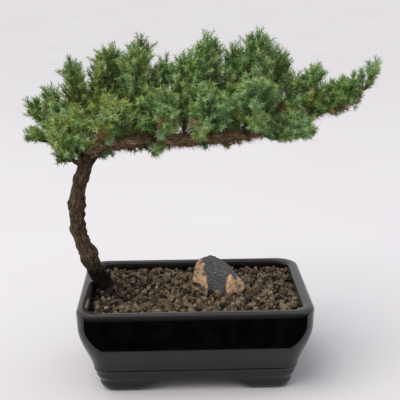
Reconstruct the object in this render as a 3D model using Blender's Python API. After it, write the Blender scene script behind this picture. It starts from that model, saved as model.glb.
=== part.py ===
"""A juniper bonsai: a leaning trunk that bends into one long level leader, in a black glazed pot.

Everything is in metres, with +Z up. The pot's feet stand on z = 0, and the origin lies under the
middle of the whole plant and pot. Each sub-part is one object in the collection juniper_bonsai.
"""

import math

import bmesh
import bpy
import numpy as np
from mathutils import Matrix, Vector

MM = 0.001
GAP = 0.3 * MM  # between pieces that touch

# The pot's middle lies this far left of the middle of the whole, because the crown reaches right.
POT_CENTRE = (-6.6 * MM, 0.0, 0.0)

# Pot, a rounded rectangle in plan. Half sizes are given along X, and the depth is this much less.
DEPTH_LESS = 28.5 * MM
POT_X = 1.0 * MM  # the pot's middle, right of the place that the plant is measured from
RIM_HALF = 103.0 * MM
BELLY_HALF = 101.0 * MM
WAIST_HALF = 86.5 * MM
FOOT_HALF = 84.0 * MM
FOOT_SOLE_HALF = 79.0 * MM
MOUTH_HALF = 91.5 * MM
FLOOR_HALF = 78.0 * MM
POT_HEIGHT = 76.0 * MM
BELLY_Z = 62.0 * MM
WAIST_Z = 18.0 * MM
FLOOR_Z = 20.0 * MM
INNER_TAPER_Z = 48.0 * MM
ARCH_HEIGHT = 12.0 * MM
FRONT_ARCH = (22.0 * MM, 55.0 * MM)  # half width of the arch at its top and at the ground
SIDE_ARCH = (10.0 * MM, 29.0 * MM)
SOLE_RING = 14.0 * MM  # width of the foot ring, before the arches cut it into four feet
CORNER_RADIUS = 18.0 * MM
CORNER_SHRINK = 0.35  # a narrower ring's corners are this much of the difference tighter
CORNER_POINTS = 4
UNDER_RADIUS = 8.0 * MM
CUTTER_REACH = 110.0 * MM  # past the pot's walls on every side
BELLY_FULLNESS = 1.1
ROLL_STEPS = 4

SOIL_TOP = 68.0 * MM  # its highest parts, and level ground under the trunk and the stone
SOIL_DIP = 3.6 * MM  # depth of the hollows between the soil's low mounds
SOIL_CELLS = (18, 12)  # faces of the soil's top along X and Y
SOIL_WAVES = ((0.28, 0.08), (-0.11, 0.27))  # radians per mm along X and Y of the two waves
LEVEL_REACH = (1.2, 1.8)  # the soil is level within the first, and uneven past the second, in feet
TRUNK_FOOT = 12.0 * MM
STONE_CENTRE = (24.5 * MM, 13.0 * MM)
STONE_HALF = (23.5 * MM, 12.5 * MM, 16.5 * MM)
STONE_TURN = math.radians(-26)
STONE_FALL = 0.2  # how much lower its top is at the right end than in the middle
STONE_SUNK = 0.45  # the stone's flat sole lies this share of its half height under its middle

# Trunk and leader, with the pot's middle at x = y = 0.
TRUNK_POINTS = (
    (-80.8 * MM, 17.0 * MM, SOIL_TOP + GAP),
    (-83.6 * MM, 14.5 * MM, 80.0 * MM),
    (-94.5 * MM, 12.0 * MM, 103.0 * MM),
    (-102.4 * MM, 10.0 * MM, 134.0 * MM),
    (-100.0 * MM, 8.0 * MM, 165.0 * MM),
    (-86.8 * MM, 4.0 * MM, 197.6 * MM),
)
TRUNK_RADII = (7.0 * MM, 5.7 * MM)
FLARE_HEIGHT = 7.0 * MM
# Surface roots: each one's bearing in degrees and how far it swells the foot of the trunk.
ROOTS = ((-28, 5.2 * MM), (75, 4.0 * MM), (168, 1.2 * MM), (-105, 3.2 * MM))
ROOT_SPREAD = 34.0
KNOB_Z = 152.0 * MM
KNOB_SWELL = 1.0 * MM
KNOB_LENGTH = 6.0 * MM
TRUNK_SIDES = 14
LEADER_SIDES = 8
PATH_STEPS = 4  # steps of a limb's curve between one given point and the next
LEADER_POINTS = (
    (-86.4 * MM, 3.9 * MM, 198.1 * MM),
    (-69.7 * MM, 2.0 * MM, 206.4 * MM),
    (-37.0 * MM, 0.0, 209.5 * MM),
    (14.7 * MM, 0.0, 210.0 * MM),
    (66.3 * MM, -1.0 * MM, 217.9 * MM),
    (117.5 * MM, -2.0 * MM, 235.9 * MM),
    (142.0 * MM, -3.0 * MM, 248.0 * MM),
)
LEADER_RADII = (5.3 * MM, 1.4 * MM)
LEADER_TAPER = 2.2  # above 1, so that the leader keeps its girth at first
BARK_WAVE = 0.05  # how far the bark swells and narrows, as a share of the radius

BOUGH_RADII = (2.3 * MM, 1.4 * MM)
BOUGH_STEPS = 4
STEM_RADII = (1.3 * MM, 0.9 * MM)
STEM_STEPS = 5
STEM_BACK = 0.15  # how far a stem's end leans back from the way that it left the limb
BEND_REACH = 0.4  # how far a bough or stem keeps to the way that it leaves, as a share of its length
TWIG_RADIUS = 0.8 * MM
TWIG_BOW = 0.12  # how far a twig bows out between the stem's way and its spray's
TWIG_BASE = 1.2  # a twig's girth where it leaves the stem, against the rest of it
TWIG_FIRST = 0.06  # no twig leaves the stem below this share of the mass's height
TWIG_LAST = 0.92  # or above this share of the stem
TWIG_DROP = 0.5  # a twig leaves the stem this far below its spray's tip, as a share of the mass's height
SPRAY_LENGTH = 29.0 * MM
SPRAY_CORE = 2.4 * MM
NEEDLE_LENGTH = 6.0 * MM
NEEDLE_FORWARD = 4.0 * MM
SPRAY_REACH = 7.4 * MM  # how far a spray's needles stand out from its middle line
# Rings of a spray's core: their places along it, their girth, and how far the needles reach there.
CORE_PLACES = (0.10, 0.42, 0.72, 1.0)
CORE_GIRTHS = (0.8, 1.0, 0.9, 0.3)
REACH_SHARES = (0.75, 1.05, 1.05, 0.8)
WHORL_TURN = math.radians(45)
TIP_CLOSING = 0.45  # how far the last whorl's needles close in over the tip
CLEARANCE = 0.5 * MM  # kept between a twig or spray and the limbs and masses round it
SHARPEST_TURN = math.radians(70)  # of a twig, so that its sides never cross at a bend
SHORTEST_SPRAY = 9.0 * MM
OWN_REACH = 3.9 * MM  # half the distance that the outer cores of one mass's sprays keep
SPACE_SHARE = 1.5  # a spray may be this many times as far from its own mass's axis as from another's
MOST_TRIES = 220
END_SHARE = 0.55  # longest that a mass's end spray is, as a share of the way from foot to tip
SIDE_SHARE = 0.66  # and a side spray, of the way from its twig's start to its tip
TIPS_FROM = 0.22  # the sprays' tips lie from this share of a mass's axis up, over the next TIPS_SPAN of it
TIPS_SPAN = 0.72
SKIN_FROM = 0.5  # smallest share of the space's section in which a tip lies
SPRAY_WAY = (0.75, 0.6, 0.3)  # how much a spray points along its mass's axis, outwards and up
SIDE_HINT = (0.31, 0.95, 0.17)  # a direction that no mass's axis follows
BALL_STEP = 2.5 * MM  # most that two neighbouring balls of a limb or spray lie apart
LIMB_MARGIN = 1.08

# Crest masses stand on the leader: tip x, y, z in mm, half width in mm, number of sprays.
CREST = (
    (-103, 5, 277, 17, 6),
    (-67, 9, 288, 19, 7),
    (-41, -5, 296, 18, 7),
    (-21, 12, 281, 16, 5),
    (0, -8, 284, 17, 6),
    (15, 5, 301, 16, 6),
    (38, 11, 292, 16, 6),
    (54, -5, 304, 17, 7),
    (73, 6, 289, 17, 6),
    (91, -3, 268, 15, 5),
    (108, 5, 273, 14, 5),
    (131, 3, 262, 13, 4),
)
CREST_LEAN = 7.0 * MM  # a crest mass grows this far towards the leader's tip
CREST_START = 0.02  # the first crest mass's foot, as a share of the leader
# The ranks of masses before and behind the crest.
RANK_COUNT = 5
RANK_START = -104.0 * MM
RANK_STEP = 39.5 * MM
FRONT_TIP = (-50.0 * MM, 246.0 * MM)  # y and z of the first one's tip
BACK_TIP = (52.0 * MM, 240.0 * MM)
BACK_SHIFT = -7.0 * MM
RANK_RISE = 4.5 * MM
RANK_HALF_WIDTH = 20.0 * MM
RANK_SPRAYS = 6
RANK_BOUGH = (21.0 * MM, 13.0 * MM)  # how far out and up a bough of the ranks reaches
RANK_ROOT = ("trunk", 0.925)  # where the first bough of each rank grows
RANK_DRIFT = 0.4  # share of the way along the leader that a bough covers, and its mass the rest
# Single masses: name, limb and the share of it where it grows, bough tip or None, tip, half width, sprays.
SINGLES = (
    ("left_low", "trunk", 0.86, (-112, -3, 203), (-141, -8, 220), 15, 6),
    ("left_high", "trunk", 0.92, (-111, 9, 213), (-143, 13, 244), 15, 6),
    ("left_spur", "trunk", 0.965, None, (-124, -4, 257), 14, 5),
    ("left_under", "trunk", 0.80, None, (-118, -14, 200), 12, 3),
    ("right_low", "leader", 0.62, None, (103, -27, 224), 17, 6),
    ("under_spray", "leader", 0.20, None, (-31, -17, 200), 10, 1),
)
TIP_MASS = ((155, -8, 280), 10, 5)
PHASE_START = 0.05  # where each mass starts in the sequence that deals out its sprays
PHASE_STEP = 0.137
TIP_PHASE = 0.61

# Steps of a sequence that spreads points evenly in three dimensions, whatever their number.
SPREAD = 1.22074408460575947536
SPREAD_STEPS = np.array([1 / SPREAD, 1 / SPREAD**2, 1 / SPREAD**3])


def clear_scene():
    """Remove the objects that the file starts with."""
    for obj in list(bpy.data.objects):
        bpy.data.objects.remove(obj, do_unlink=True)


def new_collection(name):
    """A collection linked to the scene."""
    collection = bpy.data.collections.new(name)
    bpy.context.scene.collection.children.link(collection)
    return collection


def linear(channel):
    """One sRGB channel, 0 to 1, as a linear value."""
    return channel / 12.92 if channel <= 0.04045 else ((channel + 0.055) / 1.055) ** 2.4


def principled(name, colour, roughness, metallic=0.0):
    """A Principled material from an sRGB hex colour."""
    material = bpy.data.materials.new(name)
    material.use_nodes = True
    shader = material.node_tree.nodes["Principled BSDF"]
    channels = [linear(int(colour[i : i + 2], 16) / 255) for i in (1, 3, 5)]
    shader.inputs["Base Color"].default_value = (*channels, 1.0)
    shader.inputs["Roughness"].default_value = roughness
    shader.inputs["Metallic"].default_value = metallic
    return material


def add_object(name, data, collection, parent, material, location=(0, 0, 0)):
    """An object for this data, placed under its parent."""
    obj = bpy.data.objects.new(name, data)
    collection.objects.link(obj)
    obj.parent = parent
    obj.location = location
    if material:
        data.materials.append(material)
    return obj


def round_off(mesh, angle=40):
    """Smooth shading, with edges sharper than the angle kept sharp."""
    mesh.shade_smooth()
    mesh.set_sharp_from_angle(angle=math.radians(angle))


def loft(name, rings):
    """A closed mesh through rings of points, each with the same number, with a flat cap at both ends."""
    count, sides = rings.shape[:2]
    faces = [
        (i * sides + j, i * sides + (j + 1) % sides, (i + 1) * sides + (j + 1) % sides, (i + 1) * sides + j)
        for i in range(count - 1)
        for j in range(sides)
    ]
    faces.append(tuple(reversed(range(sides))))
    faces.append(tuple(range((count - 1) * sides, count * sides)))
    mesh = bpy.data.meshes.new(name)
    mesh.from_pydata(rings.reshape(-1, 3).tolist(), [], faces)
    shape = bmesh.new()
    shape.from_mesh(mesh)
    bmesh.ops.recalc_face_normals(shape, faces=shape.faces)
    shape.to_mesh(mesh)
    shape.free()
    return mesh


def smooth_path(points, spans):
    """A smooth curve through the points (Catmull-Rom), with this many steps on each span."""
    knots = np.array(points, float)
    knots = np.vstack([2 * knots[0] - knots[1], knots, 2 * knots[-1] - knots[-2]])
    share = np.arange(spans)[:, None] / spans
    parts = []
    for a, b, c, d in zip(knots, knots[1:], knots[2:], knots[3:]):
        parts.append(
            0.5
            * (
                2 * b
                + (c - a) * share
                + (2 * a - 5 * b + 4 * c - d) * share**2
                + (3 * b - a - 3 * c + d) * share**3
            )
        )
    return np.vstack([*parts, knots[-2:-1]])


def unit(vector):
    """The vector at length 1."""
    return vector / np.linalg.norm(vector)


def frames(path, first_way=None, last_way=None):
    """Two directions across the path at each point, carried along it without twist.

    The first and last ring can be given the way that they face.
    """
    tangents = np.gradient(path, axis=0)
    tangents /= np.linalg.norm(tangents, axis=1)[:, None]
    if first_way is not None:
        tangents[0] = first_way
    if last_way is not None:
        tangents[-1] = last_way
    across = unit(np.cross(tangents[0], (0.0, 1.0, 0.02)))
    first, second = [], []
    for tangent in tangents:
        across = unit(across - tangent * across.dot(tangent))
        first.append(across)
        second.append(np.cross(tangent, across))
    return np.array(first), np.array(second)


def shares(path):
    """How far along the path each point lies, from 0 to 1."""
    steps = np.linalg.norm(np.diff(path, axis=0), axis=1)
    return np.concatenate([[0.0], np.cumsum(steps)]) / steps.sum()


# Pot, soil and stone


def rounded_rectangle(half, radius, z):
    """One ring: a rectangle with round corners, of this half length, at height z."""
    corners = ((1, 1, 0), (-1, 1, 90), (-1, -1, 180), (1, -1, 270))
    points = []
    for side_x, side_y, start in corners:
        for step in range(CORNER_POINTS):
            turn = math.radians(start + 90 * step / (CORNER_POINTS - 1))
            x = POT_X + side_x * (half - radius) + radius * math.cos(turn)
            y = side_y * (half - DEPTH_LESS - radius) + radius * math.sin(turn)
            points.append((x, y, z))
    return points


def outer_half(z):
    """The pot's outer half length at a height: a belly that curves in to the waist."""
    if z >= BELLY_Z:
        rise = (z - BELLY_Z) / (POT_HEIGHT - BELLY_Z)
        return BELLY_HALF + (RIM_HALF - BELLY_HALF) * rise**2
    fall = (BELLY_Z - z) / (BELLY_Z - WAIST_Z)
    return WAIST_HALF + (BELLY_HALF - WAIST_HALF) * math.cos(fall * math.pi / 2) ** BELLY_FULLNESS


def inner_half(z):
    """The half length of the pot's inside at a height."""
    if z >= INNER_TAPER_Z:
        return MOUTH_HALF
    return FLOOR_HALF + (MOUTH_HALF - FLOOR_HALF) * (z - FLOOR_Z) / (INNER_TAPER_Z - FLOOR_Z)


def corner_radius(half):
    """The corner radius of a ring of this half length."""
    return CORNER_RADIUS + (half - RIM_HALF) * CORNER_SHRINK


def pot_profile():
    """Half length and height of each ring, from the sole up, over the rim and down inside."""
    rows = [(FOOT_SOLE_HALF, 0.0), (FOOT_HALF - 2 * MM, 2.5 * MM), (FOOT_HALF, 6.0 * MM)]
    rows += [(FOOT_HALF + 1.5 * MM, 14.0 * MM), (FOOT_HALF + 2 * MM, WAIST_Z - MM)]
    rows += [(outer_half(z * MM), z * MM) for z in (18, 24, 32, 42, 54, 66)]
    roll = (RIM_HALF - MOUTH_HALF) / 2
    for step in range(ROLL_STEPS + 1):
        turn = math.pi * step / ROLL_STEPS
        rows.append((MOUTH_HALF + roll + roll * math.cos(turn), POT_HEIGHT - roll + roll * math.sin(turn)))
    return rows + [(inner_half(z), z) for z in (INNER_TAPER_Z, FLOOR_Z)]


def arch_cutter(name, arch, turn, cutters, parent):
    """A long prism with the outline of an arch between two feet, made a mesh so that it can cut."""
    top, ground = arch
    outline = bpy.data.curves.new(name, "CURVE")
    outline.dimensions = "2D"
    outline.fill_mode = "BOTH"
    outline.extrude = CUTTER_REACH
    points = [(-ground, -2 * MM)]
    for step in range(-8, 9):
        x = ground * step / 8
        fall = min(max((abs(x) - top) / (ground - top), 0.0), 1.0)
        points.append((x, ARCH_HEIGHT * (1 - fall * fall * (3 - 2 * fall))))
    points.append((ground, -2 * MM))
    spline = outline.splines.new("POLY")
    spline.points.add(len(points) - 1)
    for point, (x, z) in zip(spline.points, points):
        point.co = (x, z, 0.0, 1.0)
    spline.use_cyclic_u = True
    mesh = curve_as_mesh(outline)
    upright = Matrix.Rotation(turn, 4, "Z") @ Matrix.Rotation(math.pi / 2, 4, "X")
    mesh.transform(Matrix.Translation((POT_X, 0.0, 0.0)) @ upright)
    return as_cutter(add_object(name, mesh, cutters, parent, None))


def as_cutter(obj):
    """Mark an object as one that only cuts."""
    obj.hide_render = True
    obj.display_type = "WIRE"
    return obj


def cut(obj, cutter):
    """Take the cutter's shape out of the object."""
    modifier = obj.modifiers.new(cutter.name, "BOOLEAN")
    modifier.operation = "DIFFERENCE"
    modifier.object = cutter


def build_pot(parts, cutters, parent):
    """A thick-walled pot with a rolled rim and a belly, on four corner feet with arches between them."""
    rings = [rounded_rectangle(half, corner_radius(half), z) for half, z in pot_profile()]
    mesh = loft("pot", np.array(rings))
    pot = add_object("pot", mesh, parts, parent, principled("black_glaze", "#101113", 0.12))
    round_off(mesh, 50)
    under_half = FOOT_SOLE_HALF - SOLE_RING
    under = [rounded_rectangle(under_half, UNDER_RADIUS, z) for z in (-2 * MM, ARCH_HEIGHT)]
    hollow = loft("under_hollow", np.array(under))
    cut(pot, as_cutter(add_object("under_hollow", hollow, cutters, parent, None)))
    cut(pot, arch_cutter("front_arch", FRONT_ARCH, 0.0, cutters, parent))
    cut(pot, arch_cutter("side_arch", SIDE_ARCH, math.pi / 2, cutters, parent))
    return pot


def level_ground(x, y):
    """From 0 on the level ground under the trunk and the stone to 1 away from both."""
    from_trunk = math.hypot(x - TRUNK_POINTS[0][0], y - TRUNK_POINTS[0][1]) / TRUNK_FOOT
    from_stone = math.hypot((x - STONE_CENTRE[0]) / STONE_HALF[0], (y - STONE_CENTRE[1]) / STONE_HALF[1])
    near, far = LEVEL_REACH
    part = min(max((min(from_trunk, from_stone) - near) / (far - near), 0.0), 1.0)
    return part * part * (3 - 2 * part)


def soil_height(x, y):
    """The height of the soil at x and y: low mounds, from two crossing waves, that never pass its top."""
    (ax, ay), (bx, by) = SOIL_WAVES
    waves = math.sin((ax * x + ay * y) / MM) * math.cos((bx * x + by * y) / MM)
    return SOIL_TOP - SOIL_DIP * level_ground(x, y) * (1 - waves) / 2


def build_soil(parts, parent):
    """The block of soil and gravel that fills the pot: a grid with low mounds, drawn down to a flat base."""
    half = MOUTH_HALF - GAP
    deep = half - DEPTH_LESS
    # The mouth's corners are flats between CORNER_POINTS points, and the soil keeps to the circle inside.
    radius = corner_radius(MOUTH_HALF)
    inside = radius * math.cos(math.pi / 4 / (CORNER_POINTS - 1)) - GAP
    shape = bmesh.new()
    bmesh.ops.create_grid(shape, x_segments=SOIL_CELLS[0], y_segments=SOIL_CELLS[1], size=1.0)
    for vertex in shape.verts:
        x, y = vertex.co.x * half, vertex.co.y * deep
        # Points past a corner's arc are drawn back on to it.
        past = Vector((max(abs(x) - half + radius, 0.0), max(abs(y) - deep + radius, 0.0)))
        back = past * max(0.0, 1 - inside / max(past.length, inside))
        x, y = x - math.copysign(back.x, x) + POT_X, y - math.copysign(back.y, y)
        vertex.co = (x, y, soil_height(x, y))
    rim = [edge for edge in shape.edges if edge.is_boundary]
    for z in (INNER_TAPER_Z, FLOOR_Z + GAP):
        side = bmesh.ops.extrude_edge_only(shape, edges=rim)["geom"]
        rim = [part for part in side if isinstance(part, bmesh.types.BMEdge) and part.is_boundary]
        shrink = MOUTH_HALF - inner_half(z)
        for vertex in {corner for edge in rim for corner in edge.verts}:
            x, y = vertex.co.x - POT_X, vertex.co.y
            vertex.co = (x * (1 - shrink / half) + POT_X, y * (1 - shrink / deep), z)
    bmesh.ops.edgeloop_fill(shape, edges=rim)
    bmesh.ops.recalc_face_normals(shape, faces=shape.faces)
    mesh = bpy.data.meshes.new("soil")
    shape.to_mesh(mesh)
    shape.free()
    return add_object("soil", mesh, parts, parent, principled("dark_gravel", "#4b4034", 0.95))


def build_stone(parts, parent):
    """A rough accent stone, flat underneath, with a ridge along its top."""
    shape = bmesh.new()
    bmesh.ops.create_icosphere(shape, subdivisions=2, radius=1.0)
    for vertex in shape.verts:
        x, y, z = vertex.co
        facets = 0.10 * math.sin(5.1 * x + 2.3 * y) + 0.09 * math.cos(4.3 * y - 3.7 * z + 1.1)
        ridge = 0.16 * max(z, 0.0) * (1 - abs(y))
        swell = 1 + facets + ridge
        tall = 1 - STONE_FALL * x if z > 0 else 1.0
        vertex.co = (x * STONE_HALF[0] * swell, y * STONE_HALF[1] * swell, z * STONE_HALF[2] * swell * tall)
    everything = shape.verts[:] + shape.edges[:] + shape.faces[:]
    sole = -STONE_SUNK * STONE_HALF[2]
    bmesh.ops.bisect_plane(
        shape, geom=everything, plane_co=(0, 0, sole), plane_no=(0, 0, -1), clear_outer=True
    )
    bmesh.ops.edgeloop_fill(shape, edges=[edge for edge in shape.edges if edge.is_boundary])
    bmesh.ops.recalc_face_normals(shape, faces=shape.faces)
    mesh = bpy.data.meshes.new("stone")
    shape.to_mesh(mesh)
    shape.free()
    material = principled("grey_tan_stone", "#6d675f", 0.85)
    stone = add_object("stone", mesh, parts, parent, material, (*STONE_CENTRE, SOIL_TOP + GAP - sole))
    stone.rotation_euler.z = STONE_TURN
    return stone


# Trunk and leader


def trunk_radius(share, z):
    """The trunk's own taper, with a knob where an old branch was."""
    start, end = TRUNK_RADII
    return start + (end - start) * share + KNOB_SWELL * math.exp(-(((z - KNOB_Z) / KNOB_LENGTH) ** 2))


def leader_radius(share):
    """The leader keeps its girth at first and then tapers faster towards its tip."""
    start, end = LEADER_RADII
    return end + (start - end) * (1 - share**LEADER_TAPER)


def root_swell(bearing, height):
    """How far the surface roots swell the foot of the trunk, at a bearing and a height over the soil."""
    total = 0.0
    for root, reach in ROOTS:
        apart = (math.degrees(bearing) - root + 180) % 360 - 180
        total += reach * math.exp(-((apart / ROOT_SPREAD) ** 2))
    return total * math.exp(-height / FLARE_HEIGHT)


def bark_wave(share, turn):
    """Slow swelling of the bark along and round a limb."""
    return 1 + BARK_WAVE * math.sin(31 * share + 2 * turn) * math.cos(17 * share - turn)


def build_trunk(path, cut_way, parts, parent, material):
    """The trunk from its flat cut on the soil, over its root flare, to the bend."""
    first, second = frames(path, (0.0, 0.0, 1.0), cut_way)
    rings = []
    for k, (centre, share) in enumerate(zip(path, shares(path))):
        height = centre[2] - path[0][2]
        radius = trunk_radius(share, centre[2])
        ring = []
        for j in range(TRUNK_SIDES):
            turn = 2 * math.pi * j / TRUNK_SIDES
            out = math.cos(turn) * first[k] + math.sin(turn) * second[k]
            bearing = math.atan2(out[1], out[0])
            reach = radius * bark_wave(share, turn) + root_swell(bearing, height)
            ring.append(centre + out * reach)
        rings.append(ring)
    mesh = loft("trunk", np.array(rings))
    round_off(mesh, 60)
    return add_object("trunk", mesh, parts, parent, material)


def build_leader(path, cut_way, parts, parent, material):
    """The leader, from the bend out to where it enters the last mass."""
    first, second = frames(path, cut_way)
    rings = []
    for k, (centre, share) in enumerate(zip(path, shares(path))):
        ring = []
        for j in range(LEADER_SIDES):
            turn = 2 * math.pi * j / LEADER_SIDES
            out = math.cos(turn) * first[k] + math.sin(turn) * second[k]
            ring.append(centre + out * leader_radius(share) * bark_wave(share, turn))
        rings.append(ring)
    mesh = loft("leader", np.array(rings))
    round_off(mesh, 60)
    return add_object("leader", mesh, parts, parent, material)


# Boughs, twigs and sprays


def tapered_curve(name, points, radii):
    """A curve with a round bevel whose radius follows the given radii, its ends closed."""
    curve = bpy.data.curves.new(name, "CURVE")
    curve.dimensions = "3D"
    curve.bevel_depth = MM
    curve.bevel_resolution = 1
    curve.use_fill_caps = True
    spline = curve.splines.new("POLY")
    spline.points.add(len(points) - 1)
    for k, point in enumerate(spline.points):
        point.co = (*points[k], 1.0)
        point.radius = radii[k] / MM
    return curve


def curve_as_mesh(curve):
    """The curve's surface as a closed mesh of its own, with its caps welded on."""
    holder = bpy.data.objects.new("holder", curve)
    bpy.context.scene.collection.objects.link(holder)
    depsgraph = bpy.context.evaluated_depsgraph_get()
    mesh = bpy.data.meshes.new_from_object(holder.evaluated_get(depsgraph))
    bpy.data.objects.remove(holder)
    bpy.data.curves.remove(curve)
    shape = bmesh.new()
    shape.from_mesh(mesh)
    bmesh.ops.remove_doubles(shape, verts=shape.verts, dist=1e-6)
    bmesh.ops.recalc_face_normals(shape, faces=shape.faces)
    shape.to_mesh(mesh)
    shape.free()
    return mesh


def balls(path, radii):
    """Balls of these radii along a path, close together: columns x, y, z and radius."""
    rows = []
    for a, b, ra, rb in zip(path, path[1:], radii, radii[1:]):
        count = max(2, math.ceil(np.linalg.norm(np.subtract(b, a)) / BALL_STEP))
        share = np.linspace(0, 1, count)[:, None]
        rows.append(np.hstack([np.add(a, share * np.subtract(b, a)), ra + share * (rb - ra)]))
    return np.vstack(rows)


def clear_of(these, others):
    """Whether two sets of balls keep their clearance."""
    if not len(others):
        return True
    apart = np.linalg.norm(these[:, None, :3] - others[None, :, :3], axis=2)
    return bool((apart - these[:, None, 3] - others[None, :, 3]).min() >= CLEARANCE)


def leave_limb(path, radius_at, share, towards):
    """The point 0.3 mm clear of a limb's bark at a share of its length, and the way out, square to it."""
    along = shares(path)
    k = int(np.clip(np.searchsorted(along, share), 1, len(path) - 1))
    part = (share - along[k - 1]) / (along[k] - along[k - 1])
    centre = path[k - 1] + part * (path[k] - path[k - 1])
    tangent = unit(path[k] - path[k - 1])
    way = unit(np.subtract(towards, centre))
    out = unit(way - tangent * way.dot(tangent))
    reach = radius_at(share, centre[2]) * (1 + BARK_WAVE) + GAP
    return centre + out * reach, out


def bend(start, out, end, steps):
    """A quadratic curve that leaves start along out and arrives at end."""
    end = np.array(end)
    middle = start + out * np.linalg.norm(end - start) * BEND_REACH
    share = np.linspace(0, 1, steps)[:, None]
    return (1 - share) ** 2 * start + 2 * share * (1 - share) * middle + share**2 * end


def point_at(path, share):
    """The point at a share of a path's length."""
    return np.array([np.interp(share, shares(path), path[:, axis]) for axis in range(3)])


def nearest_share(path, x):
    """The share of the leader's length at which it passes x."""
    return float(np.interp(x, path[:, 0], shares(path)))


def axis_distance(points, mass):
    """How far points lie from a mass's axis, in its own half widths."""
    foot, tip = mass["foot"], mass["tip"]
    axis = tip - foot
    share = np.clip((points - foot) @ axis / axis.dot(axis), 0, 1)[:, None]
    return np.linalg.norm(points - foot - share * axis, axis=1) / mass["half_width"]


def in_own_space(points, mass, masses):
    """Whether every point is nearer this mass's axis than any other's, each measured in half widths."""
    own = axis_distance(points, mass)
    others = (axis_distance(points, other) for other in masses if other is not mass)
    return all((own <= SPACE_SHARE * other).all() for other in others)


def spray_place(mass, number):
    """Where a mass's spray of this number ends, the way it points, and how far up its twig starts.

    The first spray ends at the mass's tip. The others end inside an ellipsoid along the axis from
    foot to tip, at places that an even three-dimensional sequence deals out, most of them near its
    skin, and they point along the axis, outwards and a little up.
    """
    axis = mass["tip"] - mass["foot"]
    ahead = unit(axis)
    side = unit(np.cross(ahead, SIDE_HINT))
    other = np.cross(ahead, side)
    u, v, w = (mass["phase"] + SPREAD_STEPS * number) % 1.0
    along = TIPS_FROM + TIPS_SPAN * math.sqrt(u)
    turn = 2 * math.pi * v
    out = math.cos(turn) * side + math.sin(turn) * other
    reach = 2 * math.sqrt(along * (1 - along)) * math.sqrt(SKIN_FROM + (1 - SKIN_FROM) * w)
    tip = mass["foot"] + along * axis + out * mass["half_width"] * reach
    forward, outward, upward = SPRAY_WAY
    way = unit(forward * ahead + outward * out + np.array((0.0, 0.0, upward)))
    return tip, way, max(TWIG_FIRST, along - TWIG_DROP)


def spray_core(root, way, length):
    """Points and radii of a spray's straight core, from just past its root to its tip."""
    points = [root + way * length * share for share in CORE_PLACES]
    return points, [SPRAY_CORE * girth for girth in CORE_GIRTHS]


def spray_path(start, along, tip, way, length):
    """Points and radii of a twig with its spray: a bent twig, then the core of the spray."""
    root = tip - way * length
    core, core_radii = spray_core(root, way, length)
    middle = (start + root) / 2 + (along - way) * np.linalg.norm(root - start) * TWIG_BOW
    radii = [TWIG_RADIUS * TWIG_BASE, TWIG_RADIUS, TWIG_RADIUS, *core_radii]
    return np.vstack([start, middle, root, core]), radii


def sharpest_turn(points):
    """The largest angle between one stretch of a path and the next, in radians."""
    ways = np.diff(points, axis=0)
    ways /= np.linalg.norm(ways, axis=1)[:, None]
    return float(np.arccos(np.clip((ways[:-1] * ways[1:]).sum(axis=1), -1, 1)).max())


def spray_mesh(name, points, radii, way, first_core):
    """A three-sided twig whose last stretch is the core of a spray, with whorls of three needles.

    The core turns from ring to ring, and each of its faces is drawn out into one needle.
    """
    first, second = frames(points)
    turns = np.arange(3) * 2 * math.pi / 3 + np.arange(len(points))[:, None] * WHORL_TURN
    out = np.cos(turns)[..., None] * first[:, None] + np.sin(turns)[..., None] * second[:, None]
    mesh = loft(name, points[:, None] + out * np.array(radii)[:, None, None])
    shape = bmesh.new()
    shape.from_mesh(mesh)
    begin = Vector(points[first_core])
    ahead = Vector(way)
    sides = [
        face
        for face in shape.faces
        if len(face.verts) == 4 and (face.calc_center_median() - begin).dot(ahead) > 0
    ]
    needles = bmesh.ops.poke(shape, faces=sides, offset=NEEDLE_LENGTH)
    reach = (Vector(points[-1]) - begin).dot(ahead)
    for apex in needles["verts"]:
        along = (apex.co - begin).dot(ahead)
        outward = apex.co - begin - ahead * along
        apex.co += ahead * NEEDLE_FORWARD - outward * (TIP_CLOSING if along > 0.7 * reach else 0.0)
    bmesh.ops.triangulate(shape, faces=shape.faces)
    shape.to_mesh(mesh)
    shape.free()
    return mesh


def spray_balls(points, radii, first_core):
    """The space that a twig and its spray take, as balls."""
    reach = list(radii)
    reach[first_core:] = [SPRAY_REACH * share for share in REACH_SHARES]
    return balls(points, reach)


def own_balls(core):
    """The outer stretch of a spray's core, as balls that sprays of its own mass keep clear of."""
    return balls(core[1:], [OWN_REACH] * (len(core) - 1))


def outer_shell(mesh):
    """Keep the one largest shell, so that sealed hollows are filled and loose scraps dropped."""
    shape = bmesh.new()
    shape.from_mesh(mesh)
    left = set(shape.faces)
    shells = []
    while left:
        waiting = [left.pop()]
        shell = []
        while waiting:
            face = waiting.pop()
            shell.append(face)
            fresh = {near for edge in face.edges for near in edge.link_faces if near in left}
            left -= fresh
            waiting.extend(fresh)
        shells.append(shell)
    shells.sort(key=len)
    scraps = [face for shell in shells[:-1] for face in shell]
    bmesh.ops.delete(shape, geom=scraps, context="FACES")
    shape.to_mesh(mesh)
    shape.free()


def fuse(name, meshes):
    """One Boolean union of the first mesh with all the others, applied, and its objects removed."""
    gathered = new_collection("gathered")
    for k, mesh in enumerate(meshes[1:]):
        gathered.objects.link(bpy.data.objects.new(f"twig_{k}", mesh))
    stem = bpy.data.objects.new("stem", meshes[0])
    bpy.context.scene.collection.objects.link(stem)
    union = stem.modifiers.new("union", "BOOLEAN")
    union.operation = "UNION"
    union.operand_type = "COLLECTION"
    union.collection = gathered
    depsgraph = bpy.context.evaluated_depsgraph_get()
    fused = bpy.data.meshes.new_from_object(stem.evaluated_get(depsgraph))
    fused.name = name
    for obj in [stem, *gathered.objects]:
        bpy.data.objects.remove(obj)
    bpy.data.collections.remove(gathered)
    outer_shell(fused)
    return fused


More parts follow.
